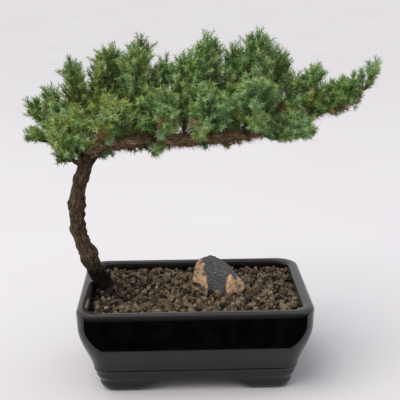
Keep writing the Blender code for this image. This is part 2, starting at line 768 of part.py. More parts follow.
def plan_masses(trunk, leader):
    """Every mass with its foot, tip, width and spray count, and the boughs that carry some of them."""
    limbs = {
        "trunk": (trunk, trunk_radius),
        "leader": (leader, lambda share, _: leader_radius(share)),
    }
    masses, boughs = [], []

    def add(name, limb, share, bough_tip, tip, half_width, sprays):
        """Plan one mass, and its bough where it has one."""
        path, radius_at = limbs[limb]
        tip = np.array(tip, float)
        start, out = leave_limb(path, radius_at, share, tip if bough_tip is None else bough_tip)
        if bough_tip is not None:
            points = bend(start, out, bough_tip, BOUGH_STEPS)
            boughs.append({"name": f"bough_{name}", "points": points})
            out = unit(points[-1] - points[-2])
            start = points[-1] + out * GAP
        phase = PHASE_STEP * len(masses) + PHASE_START
        masses.append(
            {
                "name": f"foliage_{name}",
                "foot": start,
                "out": out,
                "tip": tip,
                "half_width": half_width,
                "sprays": sprays,
                "phase": phase,
            }
        )

    for k, (x, y, z, half_width, sprays) in enumerate(CREST):
        tip = (x * MM, y * MM, z * MM)
        share = max(nearest_share(leader, tip[0] - CREST_LEAN), CREST_START)
        add(f"crest_{k + 1}", "leader", share, None, tip, half_width * MM, sprays)
    ranks = (("front", -1, FRONT_TIP, 0.0), ("back", 1, BACK_TIP, BACK_SHIFT))
    for rank, side, (tip_y, tip_z), shift in ranks:
        for k in range(RANK_COUNT):
            x = RANK_START + RANK_STEP * k + shift
            tip = (x, tip_y, tip_z + RANK_RISE * k)
            limb, share = ("leader", nearest_share(leader, x - CREST_LEAN)) if k else RANK_ROOT
            root = point_at(limbs[limb][0], share)
            out, up = RANK_BOUGH
            bough_tip = (root[0] + RANK_DRIFT * (x - root[0]), root[1] + side * out, root[2] + up)
            add(f"{rank}_{k + 1}", limb, share, bough_tip, tip, RANK_HALF_WIDTH, RANK_SPRAYS)
    for name, limb, share, bough_tip, tip, half_width, sprays in SINGLES:
        carried = None if bough_tip is None else tuple(v * MM for v in bough_tip)
        add(name, limb, share, carried, [v * MM for v in tip], half_width * MM, sprays)
    tip, half_width, sprays = TIP_MASS
    out = unit(leader[-1] - leader[-3])
    masses.append(
        {
            "name": "foliage_tip",
            "foot": leader[-1] + out * GAP,
            "out": out,
            "tip": np.array(tip) * MM,
            "half_width": half_width * MM,
            "sprays": sprays,
            "phase": TIP_PHASE,
        }
    )
    return masses, boughs


def start_mass(mass):
    """Give a mass its stem, which leaves the limb square to it and ends in the spray at the mass's tip."""
    foot, out, tip = mass["foot"], mass["out"], mass["tip"]
    way = unit(unit(tip - foot) - STEM_BACK * out)
    length = min(SPRAY_LENGTH, END_SHARE * np.linalg.norm(tip - foot))
    stem = bend(foot, out, tip - way * length, STEM_STEPS)
    core, core_radii = spray_core(stem[-1], way, length)
    radii = [*np.linspace(*STEM_RADII, len(stem)), *core_radii]
    points = np.vstack([stem, core])
    mass["stem"] = stem
    mass["grown"] = [(points, radii, way, len(stem))]
    mass["space"] = spray_balls(points, radii, len(stem))
    mass["cores"] = own_balls(core)
    mass["number"] = 0


def next_spray(mass, masses, limbs):
    """Grow one more spray on a mass, at the next place of its sequence where one fits.

    A twig or spray that would leave the mass's own space, or come too near a limb, another mass
    or the outer core of a spray of its own, is skipped.
    """
    foot, stem = mass["foot"], mass["stem"]
    axis = mass["tip"] - foot
    height = (stem[-1] - foot) @ axis / (axis @ axis)
    others = np.vstack([limbs, *(other["space"] for other in masses if other is not mass)])
    while mass["number"] < MOST_TRIES:
        mass["number"] += 1
        tip, way, leaves = spray_place(mass, mass["number"])
        at = min(leaves / height, TWIG_LAST)
        start = point_at(stem, at)
        k = min(int(at * (len(stem) - 1)), len(stem) - 2)
        length = min(SPRAY_LENGTH, SIDE_SHARE * np.linalg.norm(tip - start))
        points, radii = spray_path(start, unit(stem[k + 1] - stem[k]), tip, way, length)
        if length < SHORTEST_SPRAY or sharpest_turn(points) > SHARPEST_TURN:
            continue
        if not in_own_space(points[3:], mass, masses) or not clear_of(own_balls(points[3:]), mass["cores"]):
            continue
        space = spray_balls(points, radii, 3)
        if clear_of(space, others):
            mass["grown"].append((points, radii, way, 3))
            mass["space"] = np.vstack([mass["space"], space])
            mass["cores"] = np.vstack([mass["cores"], own_balls(points[3:])])
            return


def grow(masses, limbs):
    """Grow all masses together, a spray each in turn, so that none crowds out its neighbours."""
    for mass in masses:
        start_mass(mass)
    for _ in range(max(mass["sprays"] for mass in masses)):
        for mass in masses:
            if len(mass["grown"]) < mass["sprays"]:
                next_spray(mass, masses, limbs)


def build_crown(trunk, leader, parts, parent, bark):
    """Boughs first, and then each mass of foliage in the space left to it."""
    masses, boughs = plan_masses(trunk, leader)
    limb_balls = [
        balls(trunk, [trunk_radius(s, p[2]) * LIMB_MARGIN for s, p in zip(shares(trunk), trunk)]),
        balls(leader, [leader_radius(s) * LIMB_MARGIN for s in shares(leader)]),
    ]
    for bough in boughs:
        points = bough["points"]
        radii = np.linspace(*BOUGH_RADII, len(points))
        curve = tapered_curve(bough["name"], points - points[0], radii)
        add_object(bough["name"], curve, parts, parent, bark, points[0])
        limb_balls.append(balls(points, radii))
    grow(masses, np.vstack(limb_balls))
    greens = ("#4d6b3a", "#5c7f5e", "#557447")
    for k, mass in enumerate(masses):
        meshes = [spray_mesh(f"{mass['name']}_{j}", *spray) for j, spray in enumerate(mass["grown"])]
        green = principled(f"{mass['name']}_green", greens[k % len(greens)], 0.6)
        fused = fuse(mass["name"], meshes)
        fused.transform(Matrix.Translation(-Vector(mass["foot"])))
        add_object(mass["name"], fused, parts, parent, green, mass["foot"])


def main():
    """Build the whole bonsai."""
    clear_scene()
    parts = new_collection("juniper_bonsai")
    cutters = new_collection("cutters")
    parent = bpy.data.objects.new("pot_middle", None)
    parts.objects.link(parent)
    parent.location = POT_CENTRE
    build_pot(parts, cutters, parent)
    build_soil(parts, parent)
    build_stone(parts, parent)
    trunk = smooth_path(TRUNK_POINTS, PATH_STEPS)
    leader = smooth_path(LEADER_POINTS, PATH_STEPS)
    cut_way = unit(leader[1] - trunk[-2])
    leader[0] = trunk[-1] + GAP * cut_way
    bark = principled("juniper_bark", "#4a3826", 0.9)
    build_trunk(trunk, cut_way, parts, parent, bark)
    build_leader(leader, cut_way, parts, parent, bark)
    build_crown(trunk, leader, parts, parent, bark)


main()
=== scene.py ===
"""The looks of a juniper bonsai in a black glazed pot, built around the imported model.

Lengths are in metres with +Z up. The plant is worked out in the pot's own frame, whose origin lies
1 mm left of the pot's middle at the height of its feet. Every finished mesh is then moved to where
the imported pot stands.
"""

import logging
import math
from collections.abc import Callable, Sequence
from dataclasses import dataclass, field
from enum import Enum
from functools import partial
from itertools import combinations
from typing import Any

import bpy
import numpy as np
from mathutils import Matrix, Vector


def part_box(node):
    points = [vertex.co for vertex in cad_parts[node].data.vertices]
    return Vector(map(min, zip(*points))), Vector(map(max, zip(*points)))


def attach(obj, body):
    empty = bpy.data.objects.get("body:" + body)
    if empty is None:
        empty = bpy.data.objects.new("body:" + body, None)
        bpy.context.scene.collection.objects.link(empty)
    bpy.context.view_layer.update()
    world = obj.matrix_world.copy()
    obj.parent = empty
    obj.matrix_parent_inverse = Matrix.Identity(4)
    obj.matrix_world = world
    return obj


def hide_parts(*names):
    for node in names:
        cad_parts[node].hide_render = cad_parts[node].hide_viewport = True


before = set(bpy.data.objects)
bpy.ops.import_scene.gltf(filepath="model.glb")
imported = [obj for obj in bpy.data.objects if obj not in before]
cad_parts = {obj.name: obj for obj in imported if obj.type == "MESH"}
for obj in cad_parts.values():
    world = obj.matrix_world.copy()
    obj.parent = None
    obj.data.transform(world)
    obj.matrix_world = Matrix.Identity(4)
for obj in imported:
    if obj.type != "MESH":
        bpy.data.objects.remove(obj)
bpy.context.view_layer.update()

Array = np.ndarray
Pair = tuple[float, float]
Triple = tuple[float, float, float]
Piece = bpy.types.Object
Material = bpy.types.Material
Node = bpy.types.Node
Socket = bpy.types.NodeSocket
LOG = logging.getLogger("bonsai")
MM = 0.001
# What grows from a limb starts this far off its bark, as in the solids.
GAP = 0.3 * MM
# The pot's middle lies this far right of the place that the plant is measured from, in mm.
POT_X = 1.0


# Small helpers


def linear_colour(hex_colour: str) -> tuple[float, float, float, float]:
    """An sRGB hex colour as linear red, green, blue and an alpha of 1.

    Args:
        hex_colour: a colour such as "#4a3826".

    Returns:
        Four numbers from 0 to 1.
    """
    channels = (int(hex_colour[at : at + 2], 16) / 255 for at in (1, 3, 5))
    red, green, blue = (c / 12.92 if c <= 0.04045 else ((c + 0.055) / 1.055) ** 2.4 for c in channels)
    return (red, green, blue, 1.0)


def new_material(name: str) -> tuple[Material, Callable[..., Node], Node, Socket]:
    """A material of this name, the call that adds nodes to it, its shader and its Object coordinates."""
    material = bpy.data.materials.new(name)
    material.use_nodes = True
    place = material.node_tree.nodes.new("ShaderNodeTexCoord").outputs["Object"]
    return material, partial(add_node, material), material.node_tree.nodes["Principled BSDF"], place


def add_node(
    material: Material,
    kind: str | Node,
    settings: dict[str | int, Any] | None = None,
    links: dict[str | int, Socket | Node] | None = None,
) -> Node:
    """One more node in a material, with its settings and the links into it.

    Args:
        material: the material that it goes into.
        kind: the node's type name after "ShaderNode", or the material's own shader node.
        settings: input names or numbers with their values, or the node's own properties. "stops" is
            a list of places and hex colours for a colour ramp.
        links: input names or numbers with the outputs that feed them, or nodes for their first output.

    Returns:
        The node.
    """
    node = material.node_tree.nodes.new(f"ShaderNode{kind}") if isinstance(kind, str) else kind
    for name, value in (settings or {}).items():
        if name == "stops":
            for at, (place, hex_colour) in enumerate(value):
                stop = node.color_ramp.elements[at] if at < 2 else node.color_ramp.elements.new(place)
                stop.position = place
                stop.color = linear_colour(hex_colour)
        elif isinstance(name, int) or name in node.inputs:
            node.inputs[name].default_value = value
        else:
            setattr(node, name, value)
    for name, source in (links or {}).items():
        socket = source.outputs[0] if isinstance(source, Node) else source
        material.node_tree.links.new(socket, node.inputs[name])
    return node


def put_in_scene(name: str, data: Any) -> Piece:
    """A new object of this name that holds a mesh, light or camera."""
    thing = bpy.data.objects.new(name, data)
    bpy.context.scene.collection.objects.link(thing)
    return thing


def unit(vectors: Array) -> Array:
    """The vectors at length 1."""
    return vectors / np.linalg.norm(vectors, axis=-1, keepdims=True)


def bell(*distances: Array) -> Array:
    """A bell curve: e to the minus of the sum of the squared distances."""
    return np.exp(-sum(distance**2 for distance in distances))


def smooth_step(t: Array) -> Array:
    """A step that starts and ends level: 3 t squared - 2 t cubed."""
    return t * t * (3 - 2 * t)


def turned(turn: Array, first: Array, second: Array) -> Array:
    """The directions at these angles from first towards second: cos turn x first + sin turn x second."""
    return np.cos(turn)[..., None] * first + np.sin(turn)[..., None] * second


def surface(
    name: str,
    points: Array,
    faces: Sequence[Array],
    materials: Sequence[Material],
    slots: Array | None = None,
    uv: Array | None = None,
    smooth: bool = True,
) -> Piece:
    """An object whose mesh holds these points and faces, with its place in the mesh.

    Args:
        name: the piece's name.
        points: x, y and z of each point in metres, in the pot's frame.
        faces: arrays of vertex numbers, one array for each number of sides.
        materials: the piece's materials.
        slots: each face's material number, in the order of the faces.
        uv: each face corner's u and v, in the order of the faces.
        smooth: whether the faces shade smoothly.

    Returns:
        The object, which rides on the one body.
    """
    mesh = bpy.data.meshes.new(name)
    placed = points.reshape(-1, 3) + pot_middle()
    mesh.vertices.add(len(placed))
    mesh.vertices.foreach_set("co", placed.astype(np.float32).ravel())
    corners = np.concatenate([part.ravel() for part in faces])
    sides = np.concatenate([np.full(len(part), part.shape[1]) for part in faces])
    starts = np.concatenate([[0], np.cumsum(sides)[:-1]])
    mesh.loops.add(len(corners))
    mesh.loops.foreach_set("vertex_index", corners.astype(np.int32))
    mesh.polygons.add(len(sides))
    mesh.polygons.foreach_set("loop_start", starts.astype(np.int32))
    mesh.polygons.foreach_set("use_smooth", np.full(len(sides), smooth))
    for material in materials:
        mesh.materials.append(material)
    if slots is not None:
        mesh.polygons.foreach_set("material_index", slots.astype(np.int32))
    if uv is not None:
        mesh.uv_layers.new(name="along").uv.foreach_set("vector", uv.astype(np.float32).ravel())
    mesh.update(calc_edges=True)
    mesh.validate()
    piece = put_in_scene(name, mesh)
    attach(piece, "root")
    LOG.info("%s: %d faces", name, len(sides))
    return piece


def pot_middle() -> Array:
    """The place that the plant is measured from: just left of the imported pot's middle, at its feet."""
    low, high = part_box("pot")
    return np.array(((low.x + high.x) / 2 - POT_X * MM, (low.y + high.y) / 2, 0.0))


# Noise


def lattice_values(cells: Array, seed: int) -> Array:
    """A repeatable number from -1 to 1 for each whole-number cell.

    Each cell's three numbers are multiplied by large primes, mixed bit by bit with the seed, and
    the low 31 bits are scaled.
    """
    mixed = (cells[..., 0] * 73856093) ^ (cells[..., 1] * 19349663) ^ (cells[..., 2] * 83492791)
    mixed = (mixed ^ (seed * 2654435761)) & 0x7FFFFFFF
    mixed = ((mixed ^ (mixed >> 15)) * 739982445) & 0x7FFFFFFF
    mixed = ((mixed ^ (mixed >> 12)) * 695872825) & 0x7FFFFFFF
    return (mixed ^ (mixed >> 15)) / 0x3FFFFFFF - 1.0


def noise(points: Array, seed: int = 0) -> Array:
    """Smooth noise from -1 to 1 with features about one unit wide.

    The values at the eight corners of each point's cell are blended by a smooth step along each axis.
    """
    cells = np.floor(points).astype(np.int64)
    part = smooth_step(points - cells)
    total = np.zeros(points.shape[:-1])
    for corner in np.ndindex(2, 2, 2):
        picked = np.array(corner)
        weight = np.where(picked == 1, part, 1 - part).prod(axis=-1)
        total += weight * lattice_values(cells + picked, seed)
    return total


def layered_noise(points: Array, layers: int, seed: int = 0) -> Array:
    """Noise added to finer noise, each layer half as wide and half as strong."""
    return sum(noise(points * 2**k, seed + k) / 2**k for k in range(layers))


# Tubes


def carried_frames(paths: Array) -> tuple[Array, Array, Array]:
    """Two directions across each path and one along it, carried from point to point without twist.

    The direction across at a point is the one before it with its part along the path taken out.

    Args:
        paths: any number of paths, each of k points.

    Returns:
        First and second direction across, and the direction along, so that first x second = along.
    """
    along = unit(np.gradient(paths, axis=-2))
    start = along[..., 0, :]
    upright = np.abs(start[..., 2:]) > 0.9
    across = unit(np.cross(start, np.where(upright, (1.0, 0.0, 0.0), (0.0, 0.0, 1.0))))
    first = []
    for k in range(paths.shape[-2]):
        way = along[..., k, :]
        across = unit(across - way * (across * way).sum(axis=-1, keepdims=True))
        first.append(across)
    first = np.stack(first, axis=-2)
    return first, np.cross(along, first), along


def tube_faces(tubes: int, rings: int, sides: int) -> tuple[Array, Array]:
    """Faces of closed tubes whose points lie tube by tube and ring by ring.

    Args:
        tubes: how many tubes.
        rings: rings in each.
        sides: points in each ring.

    Returns:
        The quads between the rings, and the caps at both ends.
    """
    ring, side = np.meshgrid(np.arange(rings - 1) * sides, np.arange(sides), indexing="ij")
    after = (side + 1) % sides
    quads = np.stack([ring + side, ring + after, ring + sides + after, ring + sides + side], axis=-1)
    caps = np.stack([np.arange(sides)[::-1], (rings - 1) * sides + np.arange(sides)])
    shift = np.arange(tubes)[:, None, None] * rings * sides
    return (quads.reshape(1, -1, 4) + shift).reshape(-1, 4), (caps + shift).reshape(-1, sides)


def tube_points(paths: Array, radii: Array, sides: int) -> Array:
    """Rings round each path: centre + radius x the direction out."""
    first, second, _ = carried_frames(paths)
    out = turned(2 * np.pi * np.arange(sides) / sides, first[..., None, :], second[..., None, :])
    return (paths[..., None, :] + radii[..., None, None] * out).reshape(-1, 3)


def resample(path: Array, count: int) -> Array:
    """The path with this many points, evenly spaced along it."""
    at = np.linspace(0, 1, count)
    along = shares(path)
    return np.stack([np.interp(at, along, path[:, axis]) for axis in range(3)], axis=-1)


# The rule by which the plant grows, the same as in the solids


TRUNK_POINTS = (
    (-80.8, 17.0, 68.3),
    (-83.6, 14.5, 80.0),
    (-94.5, 12.0, 103.0),
    (-102.4, 10.0, 134.0),
    (-100.0, 8.0, 165.0),
    (-86.8, 4.0, 197.6),
)
LEADER_POINTS = (
    (-86.4, 3.9, 198.1),
    (-69.7, 2.0, 206.4),
    (-37.0, 0.0, 209.5),
    (14.7, 0.0, 210.0),
    (66.3, -1.0, 217.9),
    (117.5, -2.0, 235.9),
    (142.0, -3.0, 248.0),
)
# Where the scene's one length of bark passes from the trunk into the leader.
TRUNK_END = (-86.6, 3.95, 197.85)
BARK_WAVE = 0.05
# A bough's radius at its limb and at its end, in mm.
BOUGH_RADII = (2.3, 1.4)


def smooth_path(points: Sequence[Sequence[float]] | Array, steps: int) -> Array:
    """A smooth curve through the points, with this many steps on each span.

    Each span is the Catmull-Rom cubic of its two ends a and b and their neighbours p and q:
    half of 2a + (b - p)t + (2p - 5a + 4b - q)t^2 + (3a - p - 3b + q)t^3.
    """
    knots = np.array(points, float)
    knots = np.vstack([2 * knots[0] - knots[1], knots, 2 * knots[-1] - knots[-2]])
    t = np.arange(steps)[:, None] / steps
    spans = [
        0.5 * (2 * a + (b - p) * t + (2 * p - 5 * a + 4 * b - q) * t**2 + (3 * a - p - 3 * b + q) * t**3)
        for p, a, b, q in zip(knots, knots[1:], knots[2:], knots[3:])
    ]
    return np.vstack([*spans, knots[-2:-1]])


def shares(path: Array) -> Array:
    """How far along the path each point lies, from 0 to 1."""
    steps = np.linalg.norm(np.diff(path, axis=0), axis=1)
    return np.concatenate([[0.0], np.cumsum(steps)]) / steps.sum()


def point_at(path: Array, share: float) -> Array:
    """The point at a share of a path's length."""
    return np.array([np.interp(share, shares(path), path[:, axis]) for axis in range(3)])


def trunk_radius(share: Array, z: Array) -> Array:
    """The trunk tapers evenly from 7 to 5.7 mm and swells by 1 mm at the old branch knob."""
    return (7.0 - 1.3 * share + bell((z / MM - 152) / 6)) * MM


def leader_radius(share: Array, _: Array | float = 0.0) -> Array:
    """The leader goes from 5.3 to 1.4 mm, by one minus the share to the power 2.2."""
    return (1.4 + 3.9 * (1 - share**2.2)) * MM


def leave_limb(path: Array, radius_at: Callable, share: float, towards: Array) -> tuple[Array, Array]:
    """Where a bough or stem leaves a limb.

    Args:
        path: the limb's centre line.
        radius_at: its radius by share and height.
        share: how far along it.
        towards: the point that the bough heads for.

    Returns:
        The point just clear of the bark, and the way out, square to the limb.
    """
    along = shares(path)
    k = int(np.clip(np.searchsorted(along, share), 1, len(path) - 1))
    centre = path[k - 1] + (share - along[k - 1]) / (along[k] - along[k - 1]) * (path[k] - path[k - 1])
    tangent = unit(path[k] - path[k - 1])
    way = unit(np.subtract(towards, centre))
    out = unit(way - tangent * way.dot(tangent))
    return centre + out * (radius_at(share, centre[2]) * (1 + BARK_WAVE) + GAP), out


def bend(start: Array, out: Array, end: Array, steps: int) -> Array:
    """A quadratic curve from start, along out at first, to end: its middle point is 0.4 of the way out."""
    end = np.asarray(end)
    middle = start + out * np.linalg.norm(end - start) * 0.4
    t = np.linspace(0, 1, steps)[:, None]
    return (1 - t) ** 2 * start + 2 * t * (1 - t) * middle + t**2 * end


def balls(path: Array, radii: Array) -> Array:
    """Balls along a path at most 2.5 mm apart: columns x, y, z and radius."""
    rows = []
    for a, b, ra, rb in zip(path, path[1:], radii, radii[1:]):
        t = np.linspace(0, 1, max(2, math.ceil(np.linalg.norm(b - a) / (2.5 * MM))))[:, None]
        rows.append(np.hstack([a + t * (b - a), ra + t * (rb - ra)]))
    return np.vstack(rows)


@dataclass
class Mass:
    """One mass of foliage, in a space of its own along the axis from its foot to its tip.

    Attributes:
        name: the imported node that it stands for.
        foot: where its stem starts, just clear of its limb.
        out: the way that the stem leaves the limb.
        tip: its furthest point.
        half_width: half the width of its space.
        phase: where it starts in the sequence that deals out its sprays.
        slim: whether its finer sprays keep close to its axis, like a finger.
        lowest: the height that no spray of it ends under.
        group: the group of masses that it is built with.
        stem: its stem's path.
        twigs: the path of each spray, with the spray's tip last.
    """

    SPREAD = 1.22074408460575947536
    STEPS = np.array([1 / SPREAD, 1 / SPREAD**2, 1 / SPREAD**3])
    LONGEST = 29 * MM
    SHORTEST = 9 * MM
    SHARPEST = math.radians(70)
    SOLID_SPRAYS = 12

    name: str
    foot: Array
    out: Array
    tip: Array
    half_width: float
    phase: float
    slim: bool = False
    lowest: float = 0.0
    group: str = "ends"
    stem: Array = field(default_factory=lambda: np.zeros((0, 3)))
    twigs: list[Array] = field(default_factory=list)

    def axis_distance(self, points: Array) -> Array:
        """How far points lie from the axis, in half widths."""
        axis = self.tip - self.foot
        share = np.clip((points - self.foot) @ axis / axis.dot(axis), 0, 1)[:, None]
        return np.linalg.norm(points - self.foot - share * axis, axis=1) / self.half_width

    def owns(self, points: Array, masses: "Sequence[Mass]") -> bool:
        """Whether every point keeps to this mass's space, rather than to another's."""
        own = self.axis_distance(points)
        return all((own <= 1.5 * m.axis_distance(points)).all() for m in masses if m is not self)

    def spray_place(self, number: int) -> tuple[Array, Array, float]:
        """Where a spray of this number ends, the way it points, and how far up its twig starts.

        The sequence of the numbers deals out u, v and w evenly. The tip lies 0.22 + 0.72 root u up
        the axis, at the bearing v, out by an ellipse's width there times the root of (1 + w) / 2.
        """
        axis = self.tip - self.foot
        ahead = unit(axis)
        side = unit(np.cross(ahead, (0.31, 0.95, 0.17)))
        u, v, w = (self.phase + self.STEPS * number) % 1.0
        turn = 2 * math.pi * v
        out = math.cos(turn) * side + math.sin(turn) * np.cross(ahead, side)
        if number > self.SOLID_SPRAYS and number % 3 == 0 and not self.slim:
            # Finer growth than the solids have, low on the stem, where the space is filled out to the limb.
            along = 0.10 + 0.45 * u
            reach = self.half_width * math.sqrt(0.35 + 0.6 * w)
            way = unit(0.45 * ahead + 0.9 * out + np.array((0.0, 0.0, 0.15)))
            return self.foot + along * axis + out * reach, way, max(0.04, along - 0.25)
        along = 0.22 + 0.72 * math.sqrt(u)
        reach = self.half_width * 2 * math.sqrt(along * (1 - along)) * math.sqrt(0.5 + 0.5 * w)
        if number > self.SOLID_SPRAYS and self.slim:
            reach *= 0.6
        way = unit(0.75 * ahead + 0.6 * out + np.array((0.0, 0.0, 0.3)))
        return self.foot + along * axis + out * reach, way, max(0.06, along - 0.5)

    def start(self) -> None:
        """Give the mass its stem, which ends in the spray at its tip."""
        far = self.tip - self.foot
        way = unit(unit(far) - 0.15 * self.out)
        length = min(self.LONGEST, 0.55 * float(np.linalg.norm(far)))
        self.stem = bend(self.foot, self.out, self.tip - way * length, 5)
        self.twigs.append(np.vstack([self.stem[-2], self.stem[-1], self.tip]))

    def grow(self, wanted: int, masses: "Sequence[Mass]", limbs: Array) -> None:
        """Carry the rule on to finer sprays, and keep each one that stays in its space.

        Args:
            wanted: how many sprays to reach.
            masses: all the masses.
            limbs: balls along the trunk, the leader and the boughs.
        """
        axis = self.tip - self.foot
        height = (self.stem[-1] - self.foot) @ axis / (axis @ axis)
        for number in range(1, 6 * wanted):
            if len(self.twigs) >= wanted:
                return
            tip, way, leaves = self.spray_place(number)
            at = min(leaves / height, 0.92)
            start = point_at(self.stem, at)
            k = min(int(at * (len(self.stem) - 1)), len(self.stem) - 2)
            length = min(self.LONGEST, 0.66 * float(np.linalg.norm(tip - start)))
            root = tip - way * length
            along = unit(self.stem[k + 1] - self.stem[k])
            middle = (start + root) / 2 + (along - way) * np.linalg.norm(root - start) * 0.12
            path = np.vstack([start, middle, root, tip])
            ways = unit(np.diff(path, axis=0))
            sharpest = np.arccos(np.clip((ways[:-1] * ways[1:]).sum(axis=1), -1, 1)).max()
            if length < self.SHORTEST or sharpest > self.SHARPEST:
                continue
            if tip[2] < self.lowest or not self.owns(path[2:], masses):
                continue
            space = balls(path[1:], np.full(3, 2.0 * MM))
            apart = np.linalg.norm(space[:, None, :3] - limbs[None, :, :3], axis=2)
            if (apart - space[:, None, 3] - limbs[None, :, 3]).min() > 0:
                self.twigs.append(path)


@dataclass
class Plant:
    """The plan of limbs and masses, by the same named values as the solids.

    Attributes:
        lean: how far left of its tip a mass grows from the leader, in mm.
        crest: tip x, y, z and half width in mm of each mass that stands on the leader.
        singles: name, limb, share of it, bough tip or None, tip, half width of the other masses.
        ranks: name, side, tip y, tip z and shift to the right of the rows before and behind the crest.
        rank_masses: how many masses each row has.
        rank_start: x of a row's first tip, before its shift.
        rank_step: how far apart its tips are.
        rank_climb: how much higher each tip is than the one before.
        rank_half_width: half the width of each of its masses.
        rank_bough: how far its boughs reach to the side and up.
        rank_first: the share of the trunk's length at which its first bough leaves.
        end_tip: tip x, y, z and half width of the mass that ends the leader.
        slim: the masses that look like fingers.
        lowest: the height in mm that a mass's sprays don't end under.
        trunk, leader: their centre lines.
        masses: every mass of foliage.
        boughs: each bough's centre line.
    """

    lean: float = 7
    crest: tuple = (
        (-103, 5, 281, 14),
        (-67, 9, 292, 19),
        (-41, -5, 299, 18),
        (-21, 12, 281, 16),
        (0, -8, 288, 17),
        (15, 5, 301, 16),
        (38, 11, 292, 16),
        (57, -5, 304, 17),
        (73, 6, 289, 17),
        (91, -3, 268, 15),
        (108, 5, 273, 14),
        (131, 3, 262, 13),
    )
    singles: tuple = (
        ("left_low", "trunk", 0.91, (-112, -3, 205), (-141, -8, 221), 12),
        ("left_high", "trunk", 0.94, (-111, 9, 213), (-143, 13, 244), 12),
        ("left_spur", "trunk", 0.965, None, (-124, -4, 257), 14),
        ("left_under", "trunk", 0.925, None, (-118, -12, 201), 8),
        ("right_low", "leader", 0.62, None, (103, -27, 224), 17),
        ("under_spray", "leader", 0.20, None, (-31, -17, 200), 10),
    )
    ranks: tuple = (("front", -1, -50, 246, 0), ("back", 1, 52, 240, -7))
    rank_masses: int = 5
    rank_start: float = -104
    rank_step: float = 39.5
    rank_climb: float = 4.5
    rank_half_width: float = 20
    rank_bough: Pair = (21, 13)
    rank_first: float = 0.925
    end_tip: tuple[float, float, float, float] = (157, -8, 278, 10)
    slim: tuple = ("left_low", "left_high", "left_spur", "left_under", "crest_1", "crest_12")
    lowest: tuple = (("left_low", 211.0), ("left_under", 194.0), ("right_low", 215.0))
    trunk: Array = field(init=False)
    leader: Array = field(init=False)
    masses: list[Mass] = field(default_factory=list)
    boughs: dict[str, Array] = field(default_factory=dict)

    def __post_init__(self) -> None:
        """Lay out the limbs' centre lines, and then plan every mass."""
        self.trunk = smooth_path(TRUNK_POINTS, 4) * MM
        self.leader = smooth_path(LEADER_POINTS, 4) * MM
        self.leader[0] = self.trunk[-1] + GAP * unit(self.leader[1] - self.trunk[-2])
        self.plan_crest()
        self.plan_ranks()
        self.plan_singles()

    def add_mass(
        self,
        name: str,
        limb: str,
        share: float,
        bough_tip: Array | None,
        tip: Array,
        half_width: float,
        group: str = "ends",
    ) -> None:
        """Plan one mass, and its bough where it has one.

        Args:
            name: the mass's name without its first word.
            limb: "trunk" or "leader".
            share: how far along the limb it grows.
            bough_tip: where its bough ends, or None.
            tip: its furthest point, in metres.
            half_width: half the width of its space, in metres.
            group: the group of masses that it is built with.
        """
        path, radius_at = {"trunk": (self.trunk, trunk_radius), "leader": (self.leader, leader_radius)}[limb]
        start, out = leave_limb(path, radius_at, share, tip if bough_tip is None else bough_tip)
        if bough_tip is not None:
            points = bend(start, out, bough_tip, 4)
            self.boughs[f"bough_{name}"] = points
            out = unit(points[-1] - points[-2])
            start = points[-1] + out * GAP
        phase = 0.137 * len(self.masses) + 0.05
        lowest = dict(self.lowest).get(name, 0.0) * MM
        slim = name in self.slim
        self.masses.append(Mass(f"foliage_{name}", start, out, tip, half_width, phase, slim, lowest, group))

    def leader_share(self, x: float) -> float:
        """The share of the leader's length at which it passes x."""
        return float(np.interp(x, self.leader[:, 0], shares(self.leader)))

    def plan_crest(self) -> None:
        """The masses that stand on the leader, each growing a little towards its tip, in three groups."""
        for k, (x, y, z, half_width) in enumerate(self.crest, 1):
            share = max(self.leader_share((x - self.lean) * MM), 0.02)
            tip = np.array((x, y, z)) * MM
            group = f"crest_{'abc'[(k - 1) // 4]}"
            self.add_mass(f"crest_{k}", "leader", share, None, tip, half_width * MM, group)

    def plan_ranks(self) -> None:
        """The two ranks of masses before and behind the crest, each on a bough of its own."""
        aside, up = self.rank_bough
        for rank, side, tip_y, tip_z, shift in self.ranks:
            for k in range(self.rank_masses):
                x = (self.rank_start + self.rank_step * k + shift) * MM
                tip = np.array((x, tip_y * MM, (tip_z + self.rank_climb * k) * MM))
                limb, share = "leader", self.leader_share(x - self.lean * MM)
                if k == 0:
                    limb, share = "trunk", self.rank_first
                root = point_at(getattr(self, limb), share)
                rise = np.array((0.4 * (x - root[0]), side * aside * MM, up * MM))
                half_width = self.rank_half_width * MM
                self.add_mass(f"{rank}_{k + 1}", limb, share, root + rise, tip, half_width, rank)

    def plan_singles(self) -> None:
        """The masses at the left end, the low ones, and the one that ends the leader."""
        for name, limb, share, bough_tip, tip, half_width in self.singles:
            carried = None if bough_tip is None else np.array(bough_tip) * MM
            self.add_mass(name, limb, share, carried, np.array(tip) * MM, half_width * MM)
        out = unit(self.leader[-1] - self.leader[-3])
        *tip, half_width = self.end_tip
        foot = self.leader[-1] + out * GAP
        self.masses.append(Mass("foliage_tip", foot, out, np.array(tip) * MM, half_width * MM, 0.61))

    def limb_balls(self) -> Array:
        """Balls along every limb, which no spray may touch."""
        rows = [
            balls(self.trunk, trunk_radius(shares(self.trunk), self.trunk[:, 2])),
            balls(self.leader, leader_radius(shares(self.leader))),
        ]
        rows += [balls(path, np.linspace(*BOUGH_RADII, len(path)) * MM) for path in self.boughs.values()]
        return np.vstack(rows)

    def leader_rings(self, count: int = 300) -> tuple[Array, Array, Array, Array, Array]:
        """Points evenly spaced along the leader, two directions across, the one along, and its radius."""
        path = resample(smooth_path(self.leader, 6), count)
        return path, *carried_frames(path), leader_radius(shares(path))[:, None]


# Finishes


class Tint(Enum):
    """Colours that are dealt out one by one. Each has its number, in the order of the list."""

    @property
    def number(self) -> int:
        """The colour's place in its list, which is its material's number on a piece."""
        return list(type(self)).index(self)


